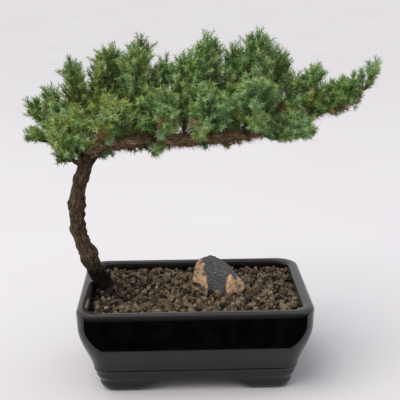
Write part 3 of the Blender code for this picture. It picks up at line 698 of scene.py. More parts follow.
def deal(chance: dict[Tint, Array], rng: np.random.Generator, least: float = 0.0) -> Array:
    """Draw a tint for each place.

    Args:
        chance: every tint of a list, in its order, with its chance at each place.
        rng: the seeded source of chance.
        least: what a chance is raised to.

    Returns:
        The drawn tints' numbers.
    """
    weights = np.cumsum(np.clip(np.stack(list(chance.values()), axis=-1), least, None), axis=1)
    drawn = rng.uniform(0, 1, len(weights)) * weights[:, -1]
    return (drawn[:, None] > weights).sum(axis=1)


class NeedleTint(Tint):
    """The colours of this tree's juniper needles, dealt out by spray; SHADE, a darker green, is painted
    shade.
    """

    FRESH = "#87a55c"
    BLUE = "#86aa71"
    PALE = "#a2ba7b"
    # Painted shade: a darker copy of the green, for sprays in the crown's shade.
    SHADE = "#64844a"
    OLIVE = "#99a852"
    STRAW = "#8d7850"


class GrainTint(Tint):
    """The colours of the soil's fired clay and crushed bark grains."""

    DARK = "#493e31"
    BROWN = "#665743"
    DRAB = "#7b6e59"
    BUFF = "#8f8470"
    SOOT = "#1f1914"


@dataclass(frozen=True)
class WaxyNeedle:
    """Juniper needle: a waxy skin, whose uneven bloom breaks its soft shine up.

    The colour is plain, because it is dealt out by spray.
    """

    tint: NeedleTint

    def material(self) -> Material:
        """The finish as a material."""
        material, add, shader, place = new_material(f"waxy_juniper_needle_{self.tint.name.lower()}")
        bloom = add("TexNoise", {"Scale": 1 / (1.6 * MM), "Detail": 2.0}, {"Vector": place})
        rough = add("MapRange", {"To Min": 0.5, "To Max": 0.75}, {"Value": bloom})
        colour = linear_colour(self.tint.value)
        add(shader, {"Base Color": colour, "IOR": 1.45}, {"Roughness": rough})
        return material


@dataclass(frozen=True)
class FlakyBark:
    """Old juniper bark: dry brown strips that lift and flake, so that it looks matt and stringy.

    Attributes:
        name: the material's name.
        dark: the colour in the cracks.
        middle: the colour of most strips.
        light: the colour of dry, lifted edges.
        by_height: whether it is black with damp at the foot, and palest on the leader as painted light and
            paler bark.
    """

    name: str
    dark: str = "#3d2f22"
    middle: str = "#977a5c"
    light: str = "#dac8ac"
    by_height: bool = False

    def material(self) -> Material:
        """The finish as a material. Its u runs round the limb and its v along it, both in metres."""
        material, add, shader, place = new_material(self.name)
        around = add("TexCoord").outputs["UV"]
        # Strips about 1.2 mm wide and 9 mm long, as coarse as shows at this distance.
        strips = add("Mapping", {"Scale": (1 / (1.2 * MM), 1 / (9 * MM), 1.0)}, {"Vector": around})
        ragged = {"Scale": 1.0, "Detail": 4.0, "Roughness": 0.65, "Distortion": 0.6}
        stringy = add("TexNoise", ragged, {"Vector": strips})
        stops = [(0.32, self.dark), (0.72, self.light), (0.5, self.middle)]
        colour = add("ValToRGB", {"stops": stops}, {"Fac": stringy})
        # Dry flakes 3 mm across, with a little lichen grey.
        flakes = add("TexNoise", {"Scale": 1 / (3 * MM), "Detail": 3.0, "Roughness": 0.7}, {"Vector": place})
        flaked = add("ValToRGB", {"stops": [(0.35, "#4a4a4a"), (0.7, "#ffffff")]}, {"Fac": flakes})
        darken = {"data_type": "RGBA", "blend_type": "MULTIPLY"}
        mixed = add("Mix", {**darken, 0: 0.8}, {6: colour, 7: flaked})
        if self.by_height:
            axes = add("SeparateXYZ", {}, {0: place})
            # The damp creeps up unevenly, by 12 mm or so.
            creep = add("Math", {"operation": "MULTIPLY_ADD", 1: 24 * MM}, {0: flakes, 2: axes.outputs[2]})
            share = add("Math", {"operation": "DIVIDE", 1: 0.25}, {0: creep})
            # The white stop pales the leader: partly its paler bark, partly painted light against the crown's
            # shade.
            stops = [(0.40, "#3b3835"), (0.46, "#a5a3a0"), (0.82, "#a19e9b"), (0.88, "#ffffff")]
            age = add("ValToRGB", {"stops": stops}, {"Fac": share})
            mixed = add("Mix", {**darken, 0: 1.0}, {6: mixed.outputs[2], 7: age})
        bump = add("Bump", {"Strength": 0.7, "Distance": 0.5 * MM}, {"Height": stringy})
        dull = {"Roughness": 0.9, "Specular IOR Level": 0.3}
        add(shader, dull, {"Base Color": mixed.outputs[2], "Normal": bump})
        return material


@dataclass(frozen=True)
class BlackGlaze:
    """Iron-black glaze fired on stoneware: a wet, mirror-like gloss with slight waves from the kiln.

    Over the rim it is painted a greyish brown: painted sheen for the grey light that the glossy rim reflects.

    Attributes:
        thin_from: the height from which the rim is painted greyish brown as painted sheen, in metres.
    """

    thin_from: float

    def material(self) -> Material:
        """The finish as a material."""
        material, add, shader, place = new_material("iron_black_glazed_stoneware")
        # The glaze pooled and ran in soft waves some 14 mm across.
        waves = add("TexNoise", {"Scale": 1 / (14 * MM), "Detail": 1.0}, {"Vector": place})
        colour = add("ValToRGB", {"stops": [(0.35, "#040405"), (0.75, "#0d0b0a")]}, {"Fac": waves})
        # Painted sheen: up over the rim the black is mixed towards greyish brown, for the light the rim
        # reflects.
        height = add("SeparateXYZ", {}, {0: place})
        band = {"From Min": self.thin_from, "From Max": self.thin_from + 6 * MM, "To Max": 0.9}
        thin = add("MapRange", band, {"Value": height.outputs[2]})
        body = add("Mix", {"data_type": "RGBA", 7: linear_colour("#373433")}, {0: thin, 6: colour})
        # Pinholes and handling haze, a few millimetres apart.
        haze = add("TexNoise", {"Scale": 1 / (5 * MM), "Detail": 3.0}, {"Vector": place})
        rough = add("MapRange", {"To Min": 0.05, "To Max": 0.13}, {"Value": haze})
        bump = add("Bump", {"Strength": 0.25, "Distance": 0.15 * MM}, {"Height": waves})
        add(shader, {"IOR": 1.52}, {"Base Color": body.outputs[2], "Roughness": rough, "Normal": bump})
        return material


@dataclass(frozen=True)
class GrittyEarth:
    """A dull earthen surface: lighter and darker crumbs of one size, raised by their own pattern.

    Attributes:
        name: the material's name.
        crumb: how wide the crumbs are, in mm.
        detail: how many finer layers break them up.
        stops: the place and colour of the dark and the light between them.
        strength: how strongly the crumbs stand out.
        depth: how far they stand out, in mm.
        roughness: how dull it is.
    """

    name: str
    crumb: float
    detail: float
    stops: tuple
    strength: float
    depth: float
    roughness: float

    def material(self) -> Material:
        """The finish as a material."""
        material, add, shader, place = new_material(self.name)
        crumbs = add("TexNoise", {"Scale": 1 / (self.crumb * MM), "Detail": self.detail}, {"Vector": place})
        colour = add("ValToRGB", {"stops": self.stops}, {"Fac": crumbs})
        bump = add("Bump", {"Strength": self.strength, "Distance": self.depth * MM}, {"Height": crumbs})
        add(shader, {"Roughness": self.roughness}, {"Base Color": colour, "Normal": bump})
        return material


# Unglazed stoneware of the pot's sole: fired clay, dull grey brown and gritty.
BARE_STONEWARE = GrittyEarth(
    name="unglazed_stoneware",
    crumb=0.9,
    detail=4.0,
    stops=((0.3, "#4b4038"), (0.75, "#75675a")),
    strength=0.4,
    depth=0.2,
    roughness=0.85,
)
# The fine soil under the grains: nearly black where it is damp.
DAMP_SOIL = GrittyEarth(
    name="damp_potting_soil",
    crumb=2.5,
    detail=5.0,
    stops=((0.35, "#120d09"), (0.7, "#3a2e22")),
    strength=0.8,
    depth=1.0,
    roughness=0.95,
)


@dataclass(frozen=True)
class FiredClayGrain:
    """A grain of bonsai soil: fired clay or bark crushed to a few millimetres, dull and dusty."""

    tint: GrainTint

    def material(self) -> Material:
        """The finish as a material, with its colour plain because it is dealt out by grain."""
        material, add, shader, place = new_material(f"crushed_clay_{self.tint.name.lower()}")
        dust = add("TexNoise", {"Scale": 1 / (0.8 * MM), "Detail": 3.0}, {"Vector": place})
        rough = add("MapRange", {"To Min": 0.7, "To Max": 1.0}, {"Value": dust})
        bump = add("Bump", {"Strength": 0.5, "Distance": 0.25 * MM}, {"Height": dust})
        colour = linear_colour(self.tint.value)
        add(shader, {"Base Color": colour}, {"Roughness": rough, "Normal": bump})
        return material


@dataclass(frozen=True)
class WeatheredRock:
    """A field stone: blue-grey skin, with rusty tan faces where it broke, all finely speckled.

    Attributes:
        middle: the stone's middle in the pot's frame.
        half: half its length, depth and height.
        turn: how far it is turned about the vertical.
        broken: each tan face's direction and its distance from the middle, in half sizes.
    """

    middle: Triple
    half: Triple
    turn: float
    broken: tuple

    def material(self) -> Material:
        """The finish as a material. The tan lies on the broken faces, with a ragged edge."""
        material, add, shader, place = new_material("weathered_basalt")
        lie = {"vector_type": "TEXTURE", "Rotation": (0.0, 0.0, self.turn), "Scale": self.half}
        lie["Location"] = Vector(self.middle) + Vector(pot_middle())
        local = add("Mapping", lie, {"Vector": place})
        # The edge of the tan wanders by a few millimetres.
        ragged = add("TexNoise", {"Scale": 1 / (5 * MM), "Detail": 4.0}, {"Vector": place})
        wander = add("Math", {"operation": "MULTIPLY_ADD", 1: 0.24, 2: -0.12}, {0: ragged})
        tans = {}
        for number, (way, distance) in enumerate(self.broken):
            reach = add("VectorMath", {"operation": "DOT_PRODUCT", 1: unit(np.array(way))}, {0: local})
            out = add("Math", {"operation": "ADD"}, {0: reach.outputs[1], 1: wander})
            edge = {"From Min": distance - 0.06, "From Max": distance - 0.01}
            tans[number] = add("MapRange", edge, {"Value": out})
        both = add("Math", {"operation": "MAXIMUM"}, tans)
        # Mineral grains half a millimetre to a millimetre across.
        fine = {"Scale": 1 / (1.1 * MM), "Detail": 3.0, "Roughness": 0.7}
        speckle = add("TexNoise", fine, {"Vector": place})
        stops = [(0.33, "#2e2e31"), (0.74, "#9a9796"), (0.52, "#535255")]
        grey = add("ValToRGB", {"stops": stops}, {"Fac": speckle})
        stops = [(0.3, "#84664b"), (0.72, "#f8debc"), (0.5, "#dcb289")]
        rusty = add("ValToRGB", {"stops": stops}, {"Fac": speckle})
        colour = add("Mix", {"data_type": "RGBA"}, {0: both, 6: grey, 7: rusty})
        bump = add("Bump", {"Strength": 0.5, "Distance": 0.3 * MM}, {"Height": speckle})
        add(shader, {"Roughness": 0.75}, {"Base Color": colour.outputs[2], "Normal": bump})
        return material


@dataclass(frozen=True)
class StudioPaper:
    """Matt white background paper of the studio, with a faint mottle.

    Attributes:
        colour: its darker colour.
        light: its lighter colour.
    """

    colour: str = "#d5d3d8"
    light: str = "#d9d8dd"

    def material(self) -> Material:
        """The finish as a material."""
        material, add, shader, place = new_material("matt_background_paper")
        mottle = add("TexNoise", {"Scale": 3.0, "Detail": 1.0}, {"Vector": place})
        colour = add("ValToRGB", {"stops": [(0.2, self.colour), (0.8, self.light)]}, {"Fac": mottle})
        add(shader, {"Roughness": 1.0, "Specular IOR Level": 0.1}, {"Base Color": colour})
        return material


# Sub-assemblies


@dataclass
class GlazedPot:
    """A rectangular pot with round corners, a belly, a rolled rim and four feet between arches.

    All sizes are half lengths along X or heights, in mm. The depth is less by depth_less each side.
    Middle is how far the pot's own middle lies right of the place that the plant is measured from,
    and thin_glaze is how far under the rim's top its greyish brown painted sheen starts.
    """

    depth_less: float = 28.5
    middle: float = 0.4
    rim: float = 100.5
    belly: float = 100.0
    waist: float = 88.0
    foot: float = 83.6
    sole: float = 78.0
    mouth: float = 90.4
    mouth_deeper: float = 2.9
    floor: float = 78.0
    height: float = 78.0
    belly_z: float = 63.0
    fullness: float = 1.5
    waist_z: float = 21.0
    floor_z: float = 20.0
    inner_taper_z: float = 48.0
    arch_height: float = 13.6
    ceiling_z: float = 14.0
    front_arch: Pair = (22.0, 55.0)
    side_arch: Pair = (10.0, 29.0)
    foot_top: float = 19.2
    sole_ring: float = 14.0
    squareness: float = 0.75
    thin_glaze: float = 6.5
    corner: float = 18.0
    long_points: int = 72
    short_points: int = 48
    corner_points: int = 14

    def ring(self, half: Array, deeper: float = 0.0) -> tuple[Array, Array]:
        """Plan of one ring, point by point: a rectangle whose corners are quarter circles.

        Args:
            half: the half length at each point of the ring.
            deeper: what is added to its half depth, in mm.

        Returns:
            x and y in mm.
        """
        radius = self.corner + (half - self.rim) * 0.35
        deep = half - self.depth_less + deeper
        sides = []
        for k, count in enumerate((self.long_points, self.short_points) * 2):
            t = np.linspace(-1, 1, count, endpoint=False)
            sides.append(np.stack([np.full(count, k), t, np.zeros(count)]))
            turn = np.linspace(0, 90, self.corner_points, endpoint=False)
            sides.append(np.stack([np.full(self.corner_points, k), np.ones(self.corner_points), turn]))
        side, t, turn = np.hstack(sides)
        turn = np.radians(turn)
        # Each side runs along its own direction, and its corner turns by a quarter into the next one.
        length = np.where(side % 2 == 0, half, deep) - radius
        away = np.where(side % 2 == 0, deep, half) - radius
        ahead = t * length + np.sin(turn) * radius
        out = away + np.cos(turn) * radius
        quarter = side * np.pi / 2
        x = ahead * np.cos(quarter) + out * np.sin(quarter)
        y = ahead * np.sin(quarter) - out * np.cos(quarter)
        return x + self.middle, y

    def arch(self, across: Array, arch: Pair) -> Array:
        """Height of an arch at a distance from its middle: level, and then a smooth step down to 0."""
        top, ground = arch
        fall = np.clip((np.abs(across) - top) / (ground - top), 0, 1)
        return self.arch_height * (1 - smooth_step(fall))

    def bottom(self, x: Array, y: Array) -> Array:
        """Height of the foot ring's lower edge at each point of a ring."""
        count = self.long_points + self.corner_points + self.short_points + self.corner_points
        at = np.arange(len(x)) % count
        on_long = at < self.long_points
        on_short = (at >= self.long_points + self.corner_points) & (at < count - self.corner_points)
        height = np.where(on_long, self.arch(x - self.middle, self.front_arch), 0.0)
        return np.where(on_short, self.arch(y, self.side_arch), height)

    def foot_half(self, z: Array) -> Array:
        """Half length of the foot at a height: round at the sole, a ledge at 11 mm and a cove above."""
        heights = (0.0, 0.8, 2.0, 4.0, 6.5, 9.5, 10.6, 11.4, 12.6, 14.2, 16.5, self.foot_top)
        out = (self.sole - self.foot, -4.0, -2.7, -1.2, -0.3, 0.0, 0.1, 0.7, 1.5, 2.2, 2.8, 3.1)
        halves = [self.foot + past for past in out]
        return np.interp(z, heights, halves)

    def body_rows(self) -> list[Triple]:
        """Half length, height and added half depth, from the waist's lip over the rim down to the floor.

        The belly's half length is waist + (belly - waist) times the cosine of the fall to the power
        of its fullness. The rim is half a circle, squarer so that its top is broad.
        """
        rows = [(self.foot + 3.3, 19.5, 0.0), (self.waist - 0.5, 19.8, 0.0), (self.waist, 20.5, 0.0)]
        for z in np.linspace(21.4, self.belly_z, 26):
            fall = (self.belly_z - z) / (self.belly_z - self.waist_z)
            full = math.cos(fall * math.pi / 2) ** self.fullness
            rows.append((self.waist + (self.belly - self.waist) * full, z, 0.0))
        for z in np.linspace(64.5, 72.0, 5):
            rise = (z - self.belly_z) / (self.height - self.belly_z)
            rows.append((self.belly + (self.rim - self.belly) * rise, z, 0.0))
        roll = (self.rim - self.mouth) / 2
        for turn in np.linspace(0.02, 0.98, 18) * math.pi:
            wide = math.copysign(abs(math.cos(turn)) ** self.squareness, math.cos(turn))
            high = self.height - roll * (1 - math.sin(turn) ** self.squareness)
            rows.append((self.mouth + roll * (1 + wide), high, self.mouth_deeper * (1 - wide) / 2))
        inside = ((self.mouth, 66.0), (self.mouth, self.inner_taper_z), (self.floor, self.floor_z))
        return rows + [(half, z, self.mouth_deeper) for half, z in inside]

    def build(self) -> Piece:
        """The pot's surface, from under its floor, round the foot ring and over the rim to the inside."""
        inner = self.sole - self.sole_ring
        rings = []
        count = 2 * (self.long_points + self.short_points + 2 * self.corner_points)
        whole = np.ones(count)

        def add(half: Array, z: Array, deeper: float = 0.0) -> None:
            """Keep one ring of this half length, height and added half depth."""
            rings.append(np.stack([*self.ring(half, deeper), z], axis=-1))

        lower = self.bottom(*self.ring(inner * whole))
        add(inner * whole, self.ceiling_z * whole)
        add(inner * whole, lower + 0.5 * (self.ceiling_z - lower) / self.ceiling_z)
        add((inner + 0.6) * whole, lower)
        lower = self.bottom(*self.ring(self.foot * whole))
        add(self.foot_half(lower) - 0.5, lower)
        for share in (0.04, 0.1, 0.18, 0.28, 0.4, 0.5, 0.56, 0.6, 0.66, 0.74, 0.86, 1.0):
            z = lower + (self.foot_top - lower) * share
            add(self.foot_half(z), z)
        for half, z, deeper in self.body_rows():
            add(half * whole, z * whole, deeper)
        grid = np.stack(rings) * MM
        quads, caps = tube_faces(1, len(rings), count)
        # Under the floor, inside the foot ring and on its sole the clay is bare.
        slots = np.concatenate([np.repeat((np.arange(len(rings) - 1) < 3).astype(int), count), [1, 0]])
        finishes = [BlackGlaze((self.height - self.thin_glaze) * MM).material(), BARE_STONEWARE.material()]
        return surface("pot_glaze", grid, [quads, caps], finishes, slots)

    def dress(self) -> None:
        """Put the pot in its node's place."""
        pot = self.build()
        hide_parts("pot")


@dataclass
class SoilBed:
    """The soil's surface: a dark bed under a loose layer of grains.

    Attributes:
        top: the bed's height in mm.
        dip: how deep its hollows are, in mm.
        reach: half length and half depth that the grains cover, in mm.
        corner: radius of that rectangle's corners.
        trunk_place: x, y and radius of the place that they leave to the trunk.
        spacing: how far apart the grains of the lower layer lie, in mm.
        extra: how many coarser grains lie on them.
        least: the smallest grain's half width in mm.
        most: how much more the largest one has.
        lump: the half width over which a grain is a dull lump.
        heap: how far the gravel is heaped up everywhere, and more at the back wall, in mm.
    """

    top: float = 68.0
    dip: float = 3.6
    reach: Pair = (91.0, 62.8)
    corner: float = 11.0
    trunk_place: Triple = (-81.0, 17.0, 8.0)
    spacing: float = 3.3
    extra: int = 1300
    least: float = 1.0
    most: float = 3.2
    lump: float = 3.0
    heap: Pair = (1.2, 2.2)
    seed: int = 7

    def height(self, x: Array, y: Array) -> Array:
        """The bed's height in mm: two crossing waves as low mounds, level at the trunk and the stone."""
        from_trunk = np.hypot(x + 80.8, y - 17) / 12
        from_stone = np.hypot((x - 24.5) / 23.5, (y - 13) / 12.5)
        part = np.clip((np.minimum(from_trunk, from_stone) - 1.2) / 0.6, 0, 1)
        waves = np.sin(0.28 * x + 0.08 * y) * np.cos(0.27 * y - 0.11 * x)
        return self.top - self.dip * smooth_step(part) * (1 - waves) / 2

    def places(self, rng: np.random.Generator) -> Array:
        """Where the grains lie in plan: a jittered grid and then the loose ones, clear of the trunk."""
        half = np.array(self.reach)
        grid = np.meshgrid(*(np.arange(-side, side, self.spacing) for side in self.reach))
        lower = np.stack([axis.ravel() for axis in grid], axis=-1)
        lower += rng.uniform(-0.45, 0.45, lower.shape) * self.spacing
        loose = rng.uniform(-1, 1, (self.extra, 2)) * (half - 2)
        every = np.vstack([lower, loose])
        inside = np.linalg.norm(np.maximum(np.abs(every) - (half - self.corner), 0), axis=1) < self.corner
        every += (POT_X, 0.0)
        x, y, radius = self.trunk_place
        return every[inside & (np.hypot(every[:, 0] - x, every[:, 1] - y) > radius)]

    def tints(self, places: Array, rng: np.random.Generator) -> Array:
        """Each grain's tint: darker near the trunk's foot, and more buff ones towards the right."""
        damp = bell(np.hypot(places[:, 0] + 76, places[:, 1] - 8) / 26)
        right = np.clip((places[:, 0] + 20) / 110, 0, 1)
        chance = {
            GrainTint.DARK: 0.30 + 0 * damp,
            GrainTint.BROWN: 0.30 - 0.15 * damp,
            GrainTint.DRAB: 0.26 - 0.24 * damp,
            GrainTint.BUFF: 0.05 + 0.11 * right,
            GrainTint.SOOT: 0.13 + 0.9 * damp,
        }
        return deal(chance, rng, 0.01)

    @staticmethod
    def icosahedron() -> tuple[Array, Array]:
        """Its twelve corners at distance 1, and its twenty faces as corner numbers, turned outwards.

        The corners are (0, 1, golden ratio) with both signs, rolled through the three axes.
        """
        golden = (1 + math.sqrt(5)) / 2
        corners = [(0, a, b * golden) for a in (-1, 1) for b in (-1, 1)]
        corners = unit(np.array([np.roll(corner, turn) for turn in range(3) for corner in corners], float))
        near = np.linalg.norm(corners[:, None] - corners[None], axis=-1) < 1.2
        faces = np.array([three for three in combinations(range(12), 3) if near[np.ix_(three, three)].all()])
        a, b, c = (corners[faces[:, k]] for k in range(3))
        inward = (np.cross(b - a, c - a) * a).sum(axis=1) < 0
        faces[inward] = faces[inward][:, ::-1]
        return corners, faces

    def build(self) -> Piece:
        """All grains as one mesh: an icosahedron each, squashed, dented, turned and set on the bed."""
        rng = np.random.default_rng(self.seed)
        corners, triples = self.icosahedron()
        places = self.places(rng)
        count = len(places)
        # Most grains are small, and a few are lumps three times as wide.
        size = self.least + self.most * rng.uniform(0, 1, count) ** 3.2
        size[: count - self.extra] += 0.5
        shape = corners[None] * rng.uniform(0.62, 1.3, (count, 12, 1)) * rng.uniform(0.6, 1.0, (count, 1, 3))
        # Each grain is turned by a quaternion of chance.
        w, *vector = unit(rng.normal(size=(count, 4))).T[:, :, None]
        vector = np.stack(vector, axis=-1)
        shape = shape + 2 * np.cross(vector, np.cross(vector, shape) + w[..., None] * shape)
        shape = shape * size[:, None, None]
        x, y = places.T
        lift = self.height(x, y) + size * rng.uniform(-0.35, 0.35, count)
        all_over, at_back = self.heap
        lift += all_over + at_back * np.clip((y - 30) / 25, 0, 1)
        lift[count - self.extra :] += 0.6
        points = (shape + np.column_stack([places, lift])[:, None, :]) * MM
        faces = (triples[None] + np.arange(count)[:, None, None] * 12).reshape(-1, 3)
        tints = self.tints(places, rng)
        # The largest lumps are dull, and only small grains are pale.
        tints = np.where((size > self.lump) & (tints == GrainTint.BUFF.number), GrainTint.BROWN.number, tints)
        slots = np.repeat(tints, len(triples))
        materials = [FiredClayGrain(tint).material() for tint in GrainTint]
        return surface("soil_grains", points, [faces], materials, slots, smooth=False)

    def dress(self) -> None:
        """Lay the grains, and give the packed soil block its damp finish."""
        self.build()
        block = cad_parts["soil"]
        block.data.materials.clear()
        block.data.materials.append(DAMP_SOIL.material())


@dataclass
class AccentStone:
    """A rough field stone, cut by broken faces, that stands on the soil.

    Attributes:
        middle: its middle in the pot's frame, in mm.
        half: half its length, depth and height in mm.
        turn: how far it is turned about the vertical, in degrees.
        tan_faces: each fresh face's direction and its distance from the middle, in half sizes.
        grey_faces: the same for the old faces.
        sharpness: the power that decides how hard the edges between the faces are.
        furthest: the most that a corner reaches, in half sizes.
        buried: how far under its middle the stone is flat, in half heights.
        rows, columns: the surface's grid.
    """

    middle: Triple = (21.6, 12.4, 77.6)
    half: Triple = (26.0, 13.6, 23.0)
    turn: float = -28.0
    tan_faces: tuple = (((-0.80, -0.62, 0.08), 0.70), ((0.92, -0.38, 0.10), 0.84))
    grey_faces: tuple = (
        ((-0.80, 0.60, 0.25), 0.86),
        ((0.70, 0.60, 0.45), 0.80),
        ((0.15, -0.97, 0.20), 0.80),
        ((0.25, -0.60, 0.75), 0.72),
        ((-0.30, -0.10, 0.97), 0.93),
        ((0.58, 0.05, 0.80), 0.66),
        ((-0.10, 0.75, 0.65), 0.84),
        ((-0.70, 0.10, 0.75), 0.98),
        ((0.0, 0.0, -1.0), 0.45),
    )
    sharpness: float = 22.0
    furthest: float = 1.08
    buried: float = 0.42
    rows: int = 72
    columns: int = 120

    def build(self) -> Piece:
        """The stone's surface over longitude and latitude.

        In each direction the distance is the smallest of each face's distance divided by the cosine
        to that face, softened over the edges, times 1 + layered noise.
        """
        latitude = np.linspace(-np.pi / 2 + 0.02, np.pi / 2 - 0.02, self.rows)
        longitude = np.linspace(0, 2 * np.pi, self.columns, endpoint=False)
        lat, lon = np.meshgrid(latitude, longitude, indexing="ij")
        way = np.stack([np.cos(lat) * np.cos(lon), np.cos(lat) * np.sin(lon), np.sin(lat)], axis=-1)
        faces = self.tan_faces + self.grey_faces
        normals = unit(np.array([face for face, _ in faces]))
        distance = np.array([reach for _, reach in faces])
        cosine = np.clip(way @ normals.T, 0.05, None)
        reach = ((distance / cosine) ** -self.sharpness).sum(axis=-1) ** (-1 / self.sharpness)
        reach = np.minimum(reach, self.furthest)
        reach *= 1 + 0.045 * layered_noise(way * 3.1, 3, 11) + 0.02 * noise(way * 14, 5)
        local = way * reach[..., None] * self.half
        local[..., 2] = np.maximum(local[..., 2], -self.buried * self.half[2])
        turn = math.radians(self.turn)
        cos, sin = math.cos(turn), math.sin(turn)
        spin = np.array([[cos, -sin, 0], [sin, cos, 0], [0, 0, 1]])
        points = (local @ spin.T + self.middle) * MM
        quads, caps = tube_faces(1, self.rows, self.columns)
        middle, half = (tuple(v * MM for v in values) for values in (self.middle, self.half))
        finish = WeatheredRock(middle, half, turn, self.tan_faces)
        return surface("accent_stone", points, [quads, caps], [finish.material()])

    def dress(self) -> None:
        """Put the stone in its node's place."""
        stone = self.build()
        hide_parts("stone")


@dataclass
class Limbs:
    """Trunk and leader as one length of flaky bark, and the boughs that leave them.

    Attributes:
        plant: the plan.
        roots: each surface root's bearing in degrees and how far it swells the foot, in mm.
        root_width: how broad a root is, in degrees.
        root_height: how fast it dies out up the trunk, in mm.
        foot: height of the trunk's lower end, just in the soil, in mm.
        sides: points round the trunk.
        step: distance between two rings, in mm.
        even_radius: the radius that the bark's pattern is laid out for, in mm.
        stubs: number of stubs that old twigs left.
        even: stretch of the trunk, in mm from the soil, where the stubs are worn down.
        burls: each burl's height, bearing in degrees, width and how far it stands out, in mm.
    """

    plant: Plant
    roots: tuple = ((-28, 5.2), (75, 4.0), (168, 1.2), (-105, 3.2))
    root_width: float = 34.0
    root_height: float = 7.0
    foot: float = 65.5
    sides: int = 72
    step: float = 0.7
    even_radius: float = 5.5
    stubs: int = 90
    even: tuple = (102, 128)
    burls: tuple = (
        (152, 182, 3.2, 2.4),
        (104, -10, 7.0, 2.6),
        (100, 178, 5.0, 1.8),
        (158, -4, 3.0, 1.2),
        (151, -8, 3.0, 1.5),
        (142, -2, 2.4, 1.3),
        (132, -6, 2.6, 1.4),
        (128, 180, 4.0, 1.0),
        (177, 0, 5.0, 0.5),
        (183, 182, 4.5, 1.1),
        (86, 176, 6.0, 1.8),
    )
    seed: int = 21

    def relief(self, turn: Array, along: Array, radius: Array) -> Array:
        """Height of the bark in mm over the limb's even surface.

        Lumps 8 mm and 4 mm long, plus strips that run along the limb, drawn as one minus the
        size of a noise stretched eight times along it, plus loose flakes where a finer noise is high.

        Args:
            turn: angle round the limb.
            along: distance along it in mm.
            radius: the limb's radius in mm.
        """
        x, y = np.cos(turn) * radius, np.sin(turn) * radius

        def pattern(width: float, length: float, seed: int) -> Array:
            """Noise with features this wide and long, in mm."""
            return noise(np.stack([x / width, y / width, along / length], axis=-1), seed)

        lumps = pattern(7, 8, 1) + 0.7 * pattern(3.2, 4, 2)
        strips = 1 - np.abs(pattern(1.1, 9, 3)) + 0.5 * (1 - np.abs(pattern(0.7, 4, 4)))
        flakes = np.clip(pattern(1.8, 3.2, 5) - 0.1, 0, 0.35)
        return (lumps + 0.55 * (strips - 1.0) + 1.3 * flakes) * np.clip(radius / 5.5, 0.35, 1.0)

    def knots(self, turn: Array, along: Array, radius: Array, length: float) -> Array:
        """Height in mm of the stubs that old twigs left: a bell over each stub's place."""
        rng = np.random.default_rng(self.seed)
        total = np.zeros_like(along)
        for _ in range(self.stubs):
            where, bearing = rng.uniform(8, length), rng.uniform(-np.pi, np.pi)
            wide, tall = rng.uniform(0.7, 1.5), rng.uniform(0.6, 1.9)
            tall *= 0.2 if self.even[0] < where < self.even[1] else 1.0
            apart = (turn - bearing + np.pi) % (2 * np.pi) - np.pi
            total += tall * np.exp(-((along - where) ** 2 + (apart * radius) ** 2) / wide**2)
        return total * np.clip(radius / 5.0, 0.5, 1.0)

    def centre_line(self) -> tuple[Array, Array]:
        """Points of trunk and leader in mm, a ring's step apart, and their radii."""
        line = smooth_path([*TRUNK_POINTS[:-1], TRUNK_END, *LEADER_POINTS[1:]], 24)
        length = np.linalg.norm(np.diff(line, axis=0), axis=1).sum()
        path = resample(line, int(length / self.step))
        at = shares(path)
        end = at[np.argmin(np.linalg.norm(path - TRUNK_END, axis=1))]
        lower = trunk_radius(np.clip(at / end, 0, 1), path[:, 2] * MM) / MM
        upper = leader_radius(np.clip((at - end) / (1 - end), 0, 1)) / MM
        radius = np.where(at < end, lower, upper)
        radius = np.convolve(np.pad(radius, 8, mode="edge"), np.ones(17) / 17, mode="valid")
        return path, radius

    def build_trunk(self) -> Piece:
        """Trunk and leader: rings round the centre line, out by radius, bark, stubs and root flare."""
        path, radius = self.centre_line()
        length = np.linalg.norm(np.diff(path, axis=0), axis=1).sum()
        along = shares(path)[:, None] * length
        first, second, _ = carried_frames(path)
        turn = 2 * np.pi * np.arange(self.sides)[None, :] / self.sides
        out = turned(turn, first[:, None], second[:, None])
        reach = radius[:, None] + self.relief(turn + 0 * along, along + 0 * turn, radius[:, None])
        reach += self.knots(turn + 0 * along, along + 0 * turn, radius[:, None], length)
        bearing = np.degrees(np.arctan2(out[..., 1], out[..., 0]))
        flare = np.zeros_like(reach)
        for root, swell in self.roots:
            apart = (bearing - root + 180) % 360 - 180
            flare += swell * bell(apart / self.root_width)
        reach += flare * np.exp(-along / self.root_height)
        for height, at, wide, tall in self.burls:
            apart = np.radians((bearing - at + 180) % 360 - 180) * radius[:, None]
            reach += tall * np.exp(-((path[:, 2:] - height) ** 2 + apart**2) / wide**2)
        # The last rings close in to a blunt end.
        reach[-6:] *= np.linspace(1, 0.3, 6)[:, None]
        points = path[:, None] + out * reach[..., None]
        points[0, :, 2] = self.foot
        quads, caps = tube_faces(1, len(path), self.sides)
        ring = np.repeat(np.arange(len(path) - 1), self.sides)
        side = np.tile(np.arange(self.sides), len(path) - 1)
        width = 2 * np.pi * self.even_radius * MM / self.sides
        u = np.stack([side, side + 1, side + 1, side], axis=-1) * width
        v = along[np.stack([ring, ring, ring + 1, ring + 1], axis=-1), 0] * MM
        uv = np.concatenate([np.stack([u, v], axis=-1).reshape(-1, 2), np.zeros((caps.size, 2))])
        bark = FlakyBark("flaking_juniper_bark", by_height=True).material()
        return surface("trunk_bark", points * MM, [quads, caps], [bark], uv=uv)

